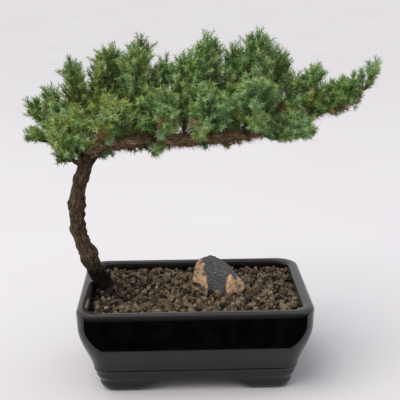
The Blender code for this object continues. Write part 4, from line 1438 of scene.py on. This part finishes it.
    def build_boughs(self) -> Piece:
        """The boughs: tapered tubes with a collar where they leave their limb, and fine bark strips."""
        rings, sides = 26, 14
        paths, radii = [], []
        for points in self.plant.boughs.values():
            inward = points[0] - unit(points[1] - points[0]) * 2.2 * MM
            path = resample(np.vstack([inward, smooth_path(points, 6)]), rings)
            length = np.linalg.norm(np.diff(path, axis=0), axis=1).sum()
            collar = 1 + 0.5 * np.exp(-shares(path) * length / (3 * MM))
            paths.append(path)
            radii.append(np.linspace(*BOUGH_RADII, rings) * MM * collar)
        paths, radii = np.array(paths), np.array(radii)
        points = tube_points(paths, radii, sides)
        centre = np.repeat(paths.reshape(-1, 3), sides, axis=0)
        rough = layered_noise(points / (2.2 * MM), 2, 9)[:, None]
        points = points + unit(points - centre) * rough * 0.35 * MM
        quads, caps = tube_faces(len(paths), rings, sides)
        uv = np.concatenate([self.tube_uv(len(paths), rings, sides), np.zeros((caps.size, 2))])
        bark = FlakyBark("young_juniper_bark", "#2c1f14", "#5a4230", "#8a6d4f").material()
        return surface("bough_bark", points, [quads, caps], [bark], uv=uv)

    @staticmethod
    def tube_uv(tubes: int, rings: int, sides: int) -> Array:
        """Corner places for a tube's quads, in metres round it and along it."""
        ring, side = np.meshgrid(np.arange(rings - 1), np.arange(sides), indexing="ij")
        u = np.stack([side, side + 1, side + 1, side], axis=-1) * 0.9 * MM
        v = np.stack([ring, ring, ring + 1, ring + 1], axis=-1) * MM
        return np.tile(np.stack([u, v], axis=-1).reshape(-1, 2), (tubes, 1))

    def dress(self) -> None:
        """Put the bark in place of the limbs' nodes."""
        trunk = self.build_trunk()
        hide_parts("trunk", "leader")
        boughs = self.build_boughs()
        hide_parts(*self.plant.boughs)


# The turn from one shoot to the next round a twig, in radians.
GOLDEN_ANGLE = 2.39996
# An awl's four faces. Its points 0, 1 and 2 are at the root and 3 is its tip.
AWL_FACES = np.array([(0, 1, 3), (1, 2, 3), (2, 0, 3), (0, 2, 1)])


def awls(root: Array, way: Array, along: Array, length: Array, half_width: Array) -> Array:
    """Closed awl-shaped needles, broadest at the root, with a keel: root triangle and tip.

    The root's three points lie at + and - half width across, and 0.6 of it out along the keel.

    Args:
        root: where each needle leaves its shoot.
        way: the way it points.
        along: the way of its shoot.
        length: its length.
        half_width: half its width at the root.

    Returns:
        Four points for each needle.
    """
    across = unit(np.cross(way, along))
    keel = np.cross(way, across)
    wide = half_width[:, None]
    return np.stack(
        [root + across * wide, root + keel * wide * 0.6, root - across * wide, root + way * length[:, None]],
        axis=1,
    )


def needle_piece(name: str, needles: Array, tint: Array, finishes: Sequence[Material]) -> Piece:
    """Build awls as one piece.

    Args:
        name: the piece's name.
        needles: four points for each awl.
        tint: each awl's material number.
        finishes: the piece's materials.

    Returns:
        The piece.
    """
    faces = (AWL_FACES[None] + np.arange(len(needles))[:, None, None] * 4).reshape(-1, 3)
    slots = np.repeat(tint, len(AWL_FACES))
    piece = surface(name, needles, [faces], finishes, slots, smooth=False)
    return piece


@dataclass
class Shoots:
    """Straight shoots, each with whorls of three needles along it, as arrays of equal length.

    Attributes:
        start: where each starts.
        way: the way each points.
        length: each one's length.
        tint: each one's needle tint, as a number.
        tip_tint: the tint of the needles near its end.
        UPTURN: how far each turns up over its length, as a share of it.
        BREADTH: half a needle's width, as a share of its length.
    """

    start: Array
    way: Array
    length: Array
    tint: Array
    tip_tint: Array

    UPTURN = 0.10
    BREADTH = 0.108

    @staticmethod
    def joined(parts: "Sequence[Shoots]") -> "Shoots":
        """Several sets as one."""
        names = ("start", "way", "length", "tint", "tip_tint")
        return Shoots(*(np.concatenate([getattr(part, name) for part in parts]) for name in names))

    def at(self, which: Array, share: Array) -> tuple[Array, Array]:
        """Point and direction at a share of the length of each picked shoot, which turns up a little.

        The point is start + length x (share x way + upturn x share squared x up).
        """
        up = np.array((0.0, 0.0, 1.0)) * self.UPTURN
        share = share[:, None]
        point = self.start[which] + self.length[which, None] * (share * self.way[which] + share**2 * up)
        return point, unit(self.way[which] + 2 * share * up)

    def side_shoots(self, each: int, rng: np.random.Generator) -> "Shoots":
        """Finer shoots along these ones, which end about level with the tip, so that it looks blunt.

        Each is turned on from the last by the golden angle.

        Args:
            each: how many on each shoot.
            rng: the seeded source of unevenness.
        """
        which = np.repeat(np.arange(len(self.start)), each)
        number = np.tile(np.arange(each), len(self.start))
        count = len(which)
        share = (number + rng.uniform(0.1, 0.9, count)) / each * 0.9
        point, along = self.at(which, share)
        side = unit(np.cross(along, (0.13, 0.21, 0.97)))
        turn = number * GOLDEN_ANGLE + which * 1.7 + rng.uniform(-0.4, 0.4, count)
        out = turned(turn, side, np.cross(along, side))
        angle = np.radians(rng.uniform(28, 46, count))
        way = unit(turned(angle, along, out) + (0.0, 0.0, 0.12))
        left = (1.04 - share) / np.cos(angle)
        length = self.length[which] * np.minimum(0.42 * rng.uniform(0.7, 1.15, count), left)
        return Shoots(point, way, length, self.tint[which], self.tip_tint[which])

    def stalks(self) -> tuple[Array, Array, Array]:
        """Thin three-sided stalks along the shoots: points, quads and caps."""
        share = np.array((0.0, 0.5, 0.93))
        which = np.repeat(np.arange(len(self.start)), 3)
        point, _ = self.at(which, np.tile(share, len(self.start)))
        paths = point.reshape(-1, 3, 3)
        radii = np.clip(self.length / (40 * MM), 0.3, 0.7)[:, None] * np.array((0.75, 0.6, 0.3)) * MM
        quads, caps = tube_faces(len(paths), 3, 3)
        return tube_points(paths, radii, 3), quads, caps

    def needles(self, pitch: float, reach: float, rng: np.random.Generator) -> tuple[Array, Array]:
        """Needles in whorls of three, each an awl of four points and four faces.

        Each needle leaves the shoot at an angle that closes from 56 degrees at its foot to 44 at its
        tip, and the next whorl is turned by 60 degrees.

        Args:
            pitch: distance from whorl to whorl.
            reach: length of a full-grown needle.
            rng: the seeded source of unevenness.

        Returns:
            Points, four for each needle, and each needle's tint.
        """
        whorls = np.maximum((self.length / pitch).astype(int), 3)
        which = np.repeat(np.arange(len(whorls)), whorls)
        number = np.arange(len(which)) - np.repeat(np.cumsum(whorls) - whorls, whorls)
        share = (number + 0.4) / whorls[which]
        which, number, share = (np.repeat(values, 3) for values in (which, number, share))
        count = len(which)
        share = np.clip(share + rng.normal(0, 0.012, count), 0.01, 1.0)
        point, along = self.at(which, share)
        side = unit(np.cross(along, (0.21, 0.13, 0.97)))
        turn = np.tile(np.arange(3), count // 3) * 2 * np.pi / 3 + number * np.pi / 3
        turn += which * 0.9 + rng.normal(0, 0.22, count)
        out = turned(turn, side, np.cross(along, side))
        angle = np.radians(56 - 12 * share**3 + rng.normal(0, 8, count))
        way = turned(angle, along, out)
        length = reach * (1 - 0.25 * share**4) * rng.uniform(0.75, 1.1, count)
        half_width = self.BREADTH * length * rng.uniform(0.85, 1.15, count)
        points = awls(point, way, along, length, half_width)
        tint = np.where(share > 0.7, self.tip_tint[which], self.tint[which])
        return points, tint


@dataclass
class Crown:
    """All foliage: each mass's stem and twigs, the sprays on them, and their needles.

    Attributes:
        plant: the plan.
        volume_each: how much of a mass's space one spray fills, in cubic mm.
        side_shoots: finer shoots on each spray.
        pitch: distance between two whorls of needles, in mm.
        needle: length of a needle, in mm.
        stem_radii: a stem's radius at its foot and at its end, in mm.
        twig_radii: the same for a twig.
        few: how many sprays the sparse masses have.
        least: how many sprays every other mass has at least.
        limit: how many faces one piece of needles may have.
    """

    plant: Plant
    few: tuple = (("foliage_left_under", 4), ("foliage_left_low", 13))
    volume_each: float = 850.0
    side_shoots: int = 7
    pitch: float = 1.38
    needle: float = 5.0
    stem_radii: Pair = (1.35, 0.8)
    twig_radii: Pair = (0.85, 0.35)
    least: int = 9
    limit: int = 190_000
    seed: int = 5

    def grow(self) -> None:
        """Grow every mass to as many sprays as fill its space."""
        limbs = self.plant.limb_balls()
        for mass in self.plant.masses:
            mass.start()
        for mass in self.plant.masses:
            long = np.linalg.norm(mass.tip - mass.foot) / MM / 2
            volume = 4 / 3 * math.pi * long * (mass.half_width / MM) ** 2
            filled = max(self.least, round(volume / self.volume_each))
            wanted = dict(self.few).get(mass.name, filled)
            mass.grow(wanted, self.plant.masses, limbs)
            LOG.info("%s: %d sprays", mass.name, len(mass.twigs))

    def deal_tints(self, tips: Array, inner: Array, rng: np.random.Generator) -> tuple[Array, Array]:
        """Each spray's tint, by where it is on the tree.

        Args:
            tips: the sprays' tips.
            inner: how far in the spray lies, from 0 at the crown's skin to 1.
            rng: the seeded source of chance.

        Returns:
            The tint of each spray, and that of its outermost needles.
        """
        x, y, z = tips.T / MM
        # Painted shade: the darker SHADE green, with some dry brown, low down beside the leader, under the
        # crown.
        low = np.clip((232 - z) / 18, 0, 1) * (np.abs(y) < 34) * (x > -85) * (x < 75)
        low = np.maximum(low, np.clip((240 - z) / 14, 0, 1) * bell((x + 62) / 16))
        low = np.maximum(low, 2.0 * np.clip((209 - z) / 5, 0, 1) * (x < -85))
        # Dry brown needles in one patch above the leader.
        dry = bell((x + 14) / 16, (z - 223) / 14)
        left = bell((x + 90) / 28, (z - 236) / 20)
        right = np.clip((x + 35) / 60, 0, 1)
        chance = {
            NeedleTint.FRESH: 0.42 + 0 * x,
            NeedleTint.BLUE: 0.10 + 0.38 * right,
            NeedleTint.PALE: 0.03 + 0.09 * right,
            # Painted shade: SHADE is dealt more the further in a spray lies.
            NeedleTint.SHADE: 0.10 + 0.40 * inner + 0.5 * low,
            NeedleTint.OLIVE: 0.06 + 0.75 * left,
            NeedleTint.STRAW: 0.07 * np.clip(inner - 0.25, 0, 1) + 0.10 * low + 0.45 * dry,
        }
        tint = deal(chance, rng)
        brighter = rng.uniform(0, 1, len(x)) < 0.30 * (1 - inner) * (1 - 0.7 * np.minimum(low, 1))
        return tint, np.where(brighter & (tint != NeedleTint.STRAW.number), NeedleTint.PALE.number, tint)

    def shoots_of(self, masses: Sequence[Mass], rng: np.random.Generator) -> Shoots:
        """The main shoot of every spray: from its root, or half way down its twig, to its tip."""
        starts, tips, inner = [], [], []
        for mass in masses:
            for twig in mass.twigs:
                start = (twig[-3] + twig[-2]) / 2 if len(twig) > 3 else twig[-2]
                starts.append(start)
                tips.append(twig[-1])
                axis = mass.tip - mass.foot
                out = mass.axis_distance(twig[-1:])[0]
                up = (twig[-1] - mass.foot) @ unit(axis) / np.linalg.norm(axis)
                inner.append(float(np.clip(1.25 - out - 0.6 * up, 0, 1)))
        starts, tips, inner = np.array(starts), np.array(tips), np.array(inner)
        way = tips - starts
        length = np.linalg.norm(way, axis=1)
        # The shoot's own upturn is taken off first, so that its tip still ends at the twig's.
        way = way / length[:, None] - np.array((0.0, 0.0, Shoots.UPTURN))
        tint, tip_tint = self.deal_tints(tips, inner, rng)
        return Shoots(starts, way, length, tint, tip_tint)

    def woody_parts(self, masses: Sequence[Mass], shoots: Shoots) -> tuple[Array, list[Array]]:
        """Stems and twigs as five-sided tubes, and the shoots' stalks: points, and faces by sides."""
        rings, sides = 7, 5
        paths, radii = [], []
        for mass in masses:
            inward = mass.stem[0] - mass.out * 1.6 * MM
            paths.append(resample(np.vstack([inward, smooth_path(mass.stem, 4)]), rings))
            radii.append(np.linspace(*self.stem_radii, rings) * MM)
            for twig in mass.twigs[1:]:
                paths.append(resample(smooth_path(twig, 4), rings))
                radii.append(np.linspace(*self.twig_radii, rings) * MM)
        paths, radii = np.array(paths), np.array(radii)
        points = tube_points(paths, radii, sides)
        quads, caps = tube_faces(len(paths), rings, sides)
        more, more_quads, more_caps = shoots.stalks()
        shift = len(points)
        faces = [np.vstack([quads, more_quads + shift]), caps, more_caps + shift]
        return np.vstack([points, more]), faces

    def dress_group(self, name: str, masses: Sequence[Mass], finishes: Sequence[Material]) -> int:
        """Build one group of masses as a piece of wood and as few pieces of needles as the limit allows.

        Args:
            name: the group's name.
            masses: its masses.
            finishes: needle materials in the order of the tints, and then the twigs' bark.

        Returns:
            How many needles it has.
        """
        rng = np.random.default_rng([self.seed, sum(name.encode())])
        main = self.shoots_of(masses, rng)
        every = Shoots.joined([main, main.side_shoots(self.side_shoots, rng)])
        points, faces = self.woody_parts(masses, every)
        wood = surface(f"twigs_{name}", points, faces, [finishes[-1]])
        needles, tint = every.needles(self.pitch * MM, self.needle * MM, rng)
        parts = math.ceil(len(needles) * len(AWL_FACES) / self.limit)
        for k, chosen in enumerate(np.array_split(np.arange(len(needles)), parts)):
            title = f"needles_{name}" + (f"_{k + 1}" if parts > 1 else "")
            piece = needle_piece(title, needles[chosen], tint[chosen], finishes[:-1])
            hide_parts(*[mass.name for mass in masses])
        return len(needles)

    def dress(self) -> None:
        """Grow the masses, and build them in groups."""
        self.grow()
        finishes = [WaxyNeedle(tint).material() for tint in NeedleTint]
        finishes.append(FlakyBark("twig_bark", "#3a2a1b", "#6b4f34", "#8d7a4e").material())
        groups: dict[str, list[Mass]] = {}
        for mass in self.plant.masses:
            groups.setdefault(mass.group, []).append(mass)
        total = sum(self.dress_group(name, masses, finishes) for name, masses in groups.items())
        LOG.info("needles: %d", total)


@dataclass
class LeaderTufts:
    """Short shoots that sprout from the leader's old wood: green on top, dry brown and painted shade below.

    Places along the leader are numbers from 0 at the trunk to 299 at its end.

    Attributes:
        plant: the plan.
        count: how many shoots grow along the leader.
        filling: how many of them fill the gaps at both ends of the crest.
        gaps: where each gap starts, and how long it is.
        bare_to: as far as this the bark shows in front.
        plume: how many stand close together on the leader's end.
        plume_from: where the plume starts.
        plume_open: where it starts to spread.
        rays: how many shoots the pale star under the leader has, pale as painted light in the leader's shade.
        star: the star's middle in mm.
        pitch: distance between two whorls of needles, in mm.
        needle: length of a needle, in mm.
    """

    plant: Plant
    count: int = 420
    filling: int = 150
    gaps: tuple = ((6, 78), (186, 66))
    bare_to: int = 195
    plume: int = 125
    plume_from: int = 256
    plume_open: int = 263
    rays: int = 11
    star: Triple = (-31.0, -4.0, 205.5)
    pitch: float = 1.6
    needle: float = 5.1
    seed: int = 17

    def shoots(self, rng: np.random.Generator) -> Shoots:
        """The tufts' shoots: out from the bark, leaning towards the tip, 8 to 17 mm long.

        The last ones stand close together on the leader's end, as one green plume.
        """
        path, _, _, along, radius = self.plant.leader_rings()
        which = rng.integers(12, 285, self.count)
        plume = np.arange(self.count) >= self.count - self.plume
        which[plume] = rng.integers(self.plume_from, 298, self.plume)
        filling = np.arange(self.count) < self.filling
        (near, near_long), (far, far_long) = self.gaps
        spots = which[filling]
        even = np.arange(self.filling) % 2 == 0
        which[filling] = np.where(even, spots % near_long + near, spots % far_long + far)
        up = rng.normal(0, 0.75, self.count)
        # Between the trunk and the middle the bark shows in front, so the shoots stand on its top and back.
        bare = (which < self.bare_to) & (up < 0.5)
        up[bare] = np.abs(up[bare]) - 0.25
        up[plume] *= np.where(which[plume] < self.plume_open, 0.35, 2.0)
        up[filling] *= 0.5
        # Turned from straight up towards the back: most shoots stand on the leader's upper half.
        side = unit(np.cross((0.0, 0.0, 1.0), along[which]))
        top = np.cross(along[which], side)
        out = turned(up, top, side)
        way = unit(out + along[which] * rng.uniform(0.2, 0.9, (self.count, 1)))
        low = (out[:, 2] < -0.1) & ~plume
        under = (out[:, 2] < 0.0) & plume
        length = rng.uniform(8, 17, self.count) * np.where(low, 0.6, 1.0) * MM
        length[plume] *= 0.95 + 0.25 * np.cos(up[plume])
        length[filling] *= np.where(which[filling] > 196, 1.6, 1.3)
        length[low & (which < 45)] *= 1.5
        # Painted shade: the darker SHADE green goes to many shoots, and with dry brown to those under the
        # leader.
        tints = [NeedleTint.SHADE, NeedleTint.OLIVE, NeedleTint.FRESH, NeedleTint.STRAW]
        drawn = rng.choice(len(tints), self.count, p=(0.42, 0.16, 0.27, 0.15))
        drawn[low] = rng.choice((0, 3), low.sum())
        drawn[plume] = rng.choice((0, 2, 2), self.plume)
        drawn[under] = rng.choice((0, 1, 3), under.sum())
        tint = np.array([kind.number for kind in tints])[drawn]
        return Shoots(path[which] + out * radius[which] * 0.8, way, length, tint, tint)

    def bough_shoots(self, rng: np.random.Generator, count: int = 14) -> Shoots:
        """Short shoots on the lowest bough at the left, in the darker SHADE green as painted shade."""
        path = resample(smooth_path(self.plant.boughs["bough_left_low"], 6), 60)
        first, second, along = carried_frames(path)
        which = rng.integers(34, 58, count)
        out = turned(rng.uniform(0, 2 * np.pi, count), first[which], second[which])
        way = unit(out + along[which] * rng.uniform(0.4, 1.4, (count, 1)))
        tint = np.full(count, NeedleTint.SHADE.number)
        return Shoots(path[which] + out * 1.5 * MM, way, rng.uniform(5, 8, count) * MM, tint, tint)

    def fringe(self, rng: np.random.Generator, count: int = 26) -> Shoots:
        """A ragged fringe that hangs under the leader beside the trunk, and thins out along it."""
        path, _, _, along, radius = self.plant.leader_rings()
        which = (8 + 190 * rng.uniform(0, 1, count) ** 1.8).astype(int)
        out = unit(np.stack([rng.normal(0, 0.3, count), rng.normal(0, 0.7, count), -np.ones(count)], axis=-1))
        way = unit(out + along[which] * rng.uniform(0.5, 1.6, (count, 1)))
        # Painted shade: the darker SHADE green hangs under the leader, with every third shoot dry brown.
        tint = np.full(count, NeedleTint.SHADE.number)
        tint[::3] = NeedleTint.STRAW.number
        return Shoots(path[which] + out * radius[which] * 0.9, way, rng.uniform(4, 8, count) * MM, tint, tint)

    def fresh_star(self, rng: np.random.Generator) -> Shoots:
        """One star of shoots under the leader, pale green as painted light, though it lies in the leader's
        shade.
        """
        ranges = ((-1, 1), (-0.9, 0.3), (-1.0, 0.15))
        rays = unit(np.stack([rng.uniform(*ends, self.rays) for ends in ranges], axis=-1))
        tint = np.full(self.rays, NeedleTint.PALE.number)
        foot = np.tile(np.array(self.star) * MM, (self.rays, 1))
        return Shoots(foot, rays, rng.uniform(6, 10, self.rays) * MM, tint, tint)

    def dress(self) -> None:
        """Build the tufts as one piece of needles and one of stalks."""
        rng = np.random.default_rng(self.seed)
        kinds = (self.shoots, self.bough_shoots, self.fringe, self.fresh_star)
        main = Shoots.joined([make(rng) for make in kinds])
        every = Shoots.joined([main, main.side_shoots(3, rng)])
        needles, tint = every.needles(self.pitch * MM, self.needle * MM, rng)
        needle_piece("needles_leader", needles, tint, [WaxyNeedle(kind).material() for kind in NeedleTint])
        stalks, quads, caps = every.stalks()
        wood = surface("twigs_leader", stalks, [quads, caps], [FlakyBark("leader_twig_bark").material()])


@dataclass
class DeadNeedles:
    """Dry brown needles that still hang on the leader's bark, longest along its lower side.

    Attributes:
        plant: the plan.
        count: how many.
        half_width: half a needle's width in mm.
    """

    plant: Plant
    count: int = 5200
    half_width: float = 0.36
    seed: int = 31

    def dress(self) -> None:
        """Build short needles that leave the bark at 30 to 80 degrees, towards the leader's tip."""
        rng = np.random.default_rng(self.seed)
        path, first, second, along, radius = self.plant.leader_rings()
        which = (rng.beta(1.1, 1.1, self.count) * 285).astype(int) + 5
        out = turned(rng.uniform(0, 2 * np.pi, self.count), first[which], second[which])
        point = path[which] + out * radius[which] * 0.95
        angle = np.radians(rng.uniform(30, 80, self.count))
        way = unit(turned(angle, along[which], out) + rng.normal(0, 0.2, (self.count, 3)))
        length = rng.uniform(2.0, 6.0, self.count) * np.where(out[:, 2] < -0.5, 1.3, 1.0) * MM
        needles = awls(point, way, along[which], length, np.full(self.count, self.half_width * MM))
        bark = FlakyBark("dead_twig_bark", "#5f4430", "#a08062", "#d8bd98")
        finishes = [WaxyNeedle(NeedleTint.STRAW).material(), bark.material()]
        woody = (rng.uniform(0, 1, self.count) < 0.5).astype(int)
        needle_piece("dead_needles", needles, woody, finishes)


@dataclass
class Studio:
    """Pale paper sweep, soft lights and the camera at the photograph's angle.

    Attributes:
        target: the point that the camera looks at, in the pot's frame.
        azimuth: the camera's bearing in degrees, 0 in front.
        elevation: its angle over the horizon in degrees.
        distance: how far it is from the target.
        focal: its focal length in pixels of a 400 pixel frame.
        roll: how far it is tilted, in degrees.
        floor_radius: radius of the paper on the floor.
        floor_z: its height, just under the pot's feet.
        flag_near: y of the black cloth's edge before the pot, in the pot's frame.
        flag_far: y of its edge towards the camera, where it goes up by 1 m.
        flag_half: half its width.
        key_way: the way the key light shines.
    """

    target: Triple = (0.0064, 0.0, 0.1557)
    azimuth: float = -1.6
    elevation: float = 14.82
    distance: float = 0.8202
    focal: float = 935.7
    roll: float = 0.45
    floor_radius: float = 9.0
    floor_z: float = -0.0002
    flag_near: float = -0.0855
    flag_far: float = -2.2
    flag_half: float = 2.6
    key_way: Triple = (0.55, 0.5, -1.0)

    def place_camera(self) -> None:
        """Create the camera and make it the scene's."""
        data = bpy.data.cameras.new("photo_camera")
        data.sensor_width = 36.0
        data.lens = 36.0 * self.focal / 400
        camera = put_in_scene("photo_camera", data)
        turn, rise = math.radians(self.azimuth), math.radians(self.elevation)
        back = Vector((math.sin(turn) * math.cos(rise), -math.cos(turn) * math.cos(rise), math.sin(rise)))
        aim = (-back).to_track_quat("-Z", "Y").to_matrix().to_4x4()
        tilt = Matrix.Rotation(math.radians(-self.roll), 4, "Z")
        place = Vector(self.target) + Vector(pot_middle()) + back * self.distance
        camera.matrix_world = Matrix.Translation(place) @ aim @ tilt
        bpy.context.scene.camera = camera

    def lay_sheet(self, name: str, corners: Sequence, faces: Sequence, material: Material) -> Piece:
        """Lay one flat or folded sheet of the studio.

        Args:
            name: the sheet's name.
            corners: its corners.
            faces: its faces as corner numbers.
            material: its material.

        Returns:
            The sheet, which is no part of the object.
        """
        mesh = bpy.data.meshes.new(name)
        mesh.from_pydata(corners, [], faces)
        mesh.materials.append(material)
        sheet = put_in_scene(name, mesh)
        return sheet

    def lay_floor(self) -> None:
        """A wide round sheet of paper under the pot."""
        turn = np.linspace(0, 2 * np.pi, 96, endpoint=False)
        across, ahead = np.cos(turn) * self.floor_radius, np.sin(turn) * self.floor_radius
        rim = np.stack([across, ahead, np.full(96, self.floor_z)], axis=-1)
        self.lay_sheet("paper_floor", rim.tolist(), [tuple(range(96))], StudioPaper().material())

    def hang_flag(self) -> None:
        """A black cloth before the pot, as a photographer lays one, that shows only in reflections."""
        near, far, wide, low = self.flag_near, self.flag_far, self.flag_half, 0.001
        corners = [(-wide, near, low), (wide, near, low), (wide, far, low), (-wide, far, low)]
        corners += [(-wide, far, 1.0), (wide, far, 1.0)]
        placed = [tuple(np.add(corner, pot_middle())) for corner in corners]
        material, add, shader, _ = new_material("black_velvet")
        add(shader, {"Base Color": linear_colour("#020202"), "Roughness": 1.0, "Specular IOR Level": 0.0})
        flag = self.lay_sheet("black_flag", placed, [(0, 1, 2, 3), (3, 2, 5, 4)], material)
        for ray in ("camera", "diffuse", "shadow", "transmission"):
            setattr(flag, f"visible_{ray}", False)

    def add_light(self, name: str, kind: str, way: Vector, power: float, colour: str) -> Piece:
        """A light that shines one way.

        Args:
            name: the light's name.
            kind: "SUN" or "AREA".
            way: the way it shines.
            power: its strength, or its power in watts.
            colour: its sRGB colour.

        Returns:
            The light, whose width is still to be set.
        """
        data = bpy.data.lights.new(name, kind)
        data.energy = power
        data.color = linear_colour(colour)[:3]
        light = put_in_scene(name, data)
        light.rotation_mode = "QUATERNION"
        light.rotation_quaternion = way.to_track_quat("-Z", "Y")
        return light

    def light_up(self) -> None:
        """A pale surround, a wide soft key from the upper left and a small softbox over the plant."""
        world = bpy.data.worlds.new("pale_surround")
        world.use_nodes = True
        background = world.node_tree.nodes["Background"]
        background.inputs["Color"].default_value = linear_colour("#f4f4f6")
        background.inputs["Strength"].default_value = 0.72
        bpy.context.scene.world = world
        key = self.add_light("key_through_diffuser", "SUN", Vector(self.key_way), 1.9, "#fffaf3")
        key.data.angle = math.radians(50)
        key.visible_glossy = False
        place = Vector((-0.3, 0.2, 1.5)) + Vector(pot_middle())
        box = self.add_light("top_softbox", "AREA", Vector((0.0, 0.0, 0.15)) - place, 4.0, "#ffffff")
        box.data.size = 0.8
        box.location = place
        bpy.context.scene.view_settings.view_transform = "Standard"

    def set_up(self) -> None:
        """Everything that isn't part of the object."""
        self.place_camera()
        self.lay_floor()
        self.hang_flag()
        self.light_up()


def main() -> None:
    """Build the bonsai's looks in order."""
    logging.basicConfig(level=logging.INFO, format="%(name)s %(message)s")
    Studio().set_up()
    GlazedPot().dress()
    SoilBed().dress()
    AccentStone().dress()
    plant = Plant()
    Limbs(plant).dress()
    Crown(plant).dress()
    LeaderTufts(plant).dress()
    DeadNeedles(plant).dress()
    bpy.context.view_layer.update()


if __name__ == "__main__":
    main()
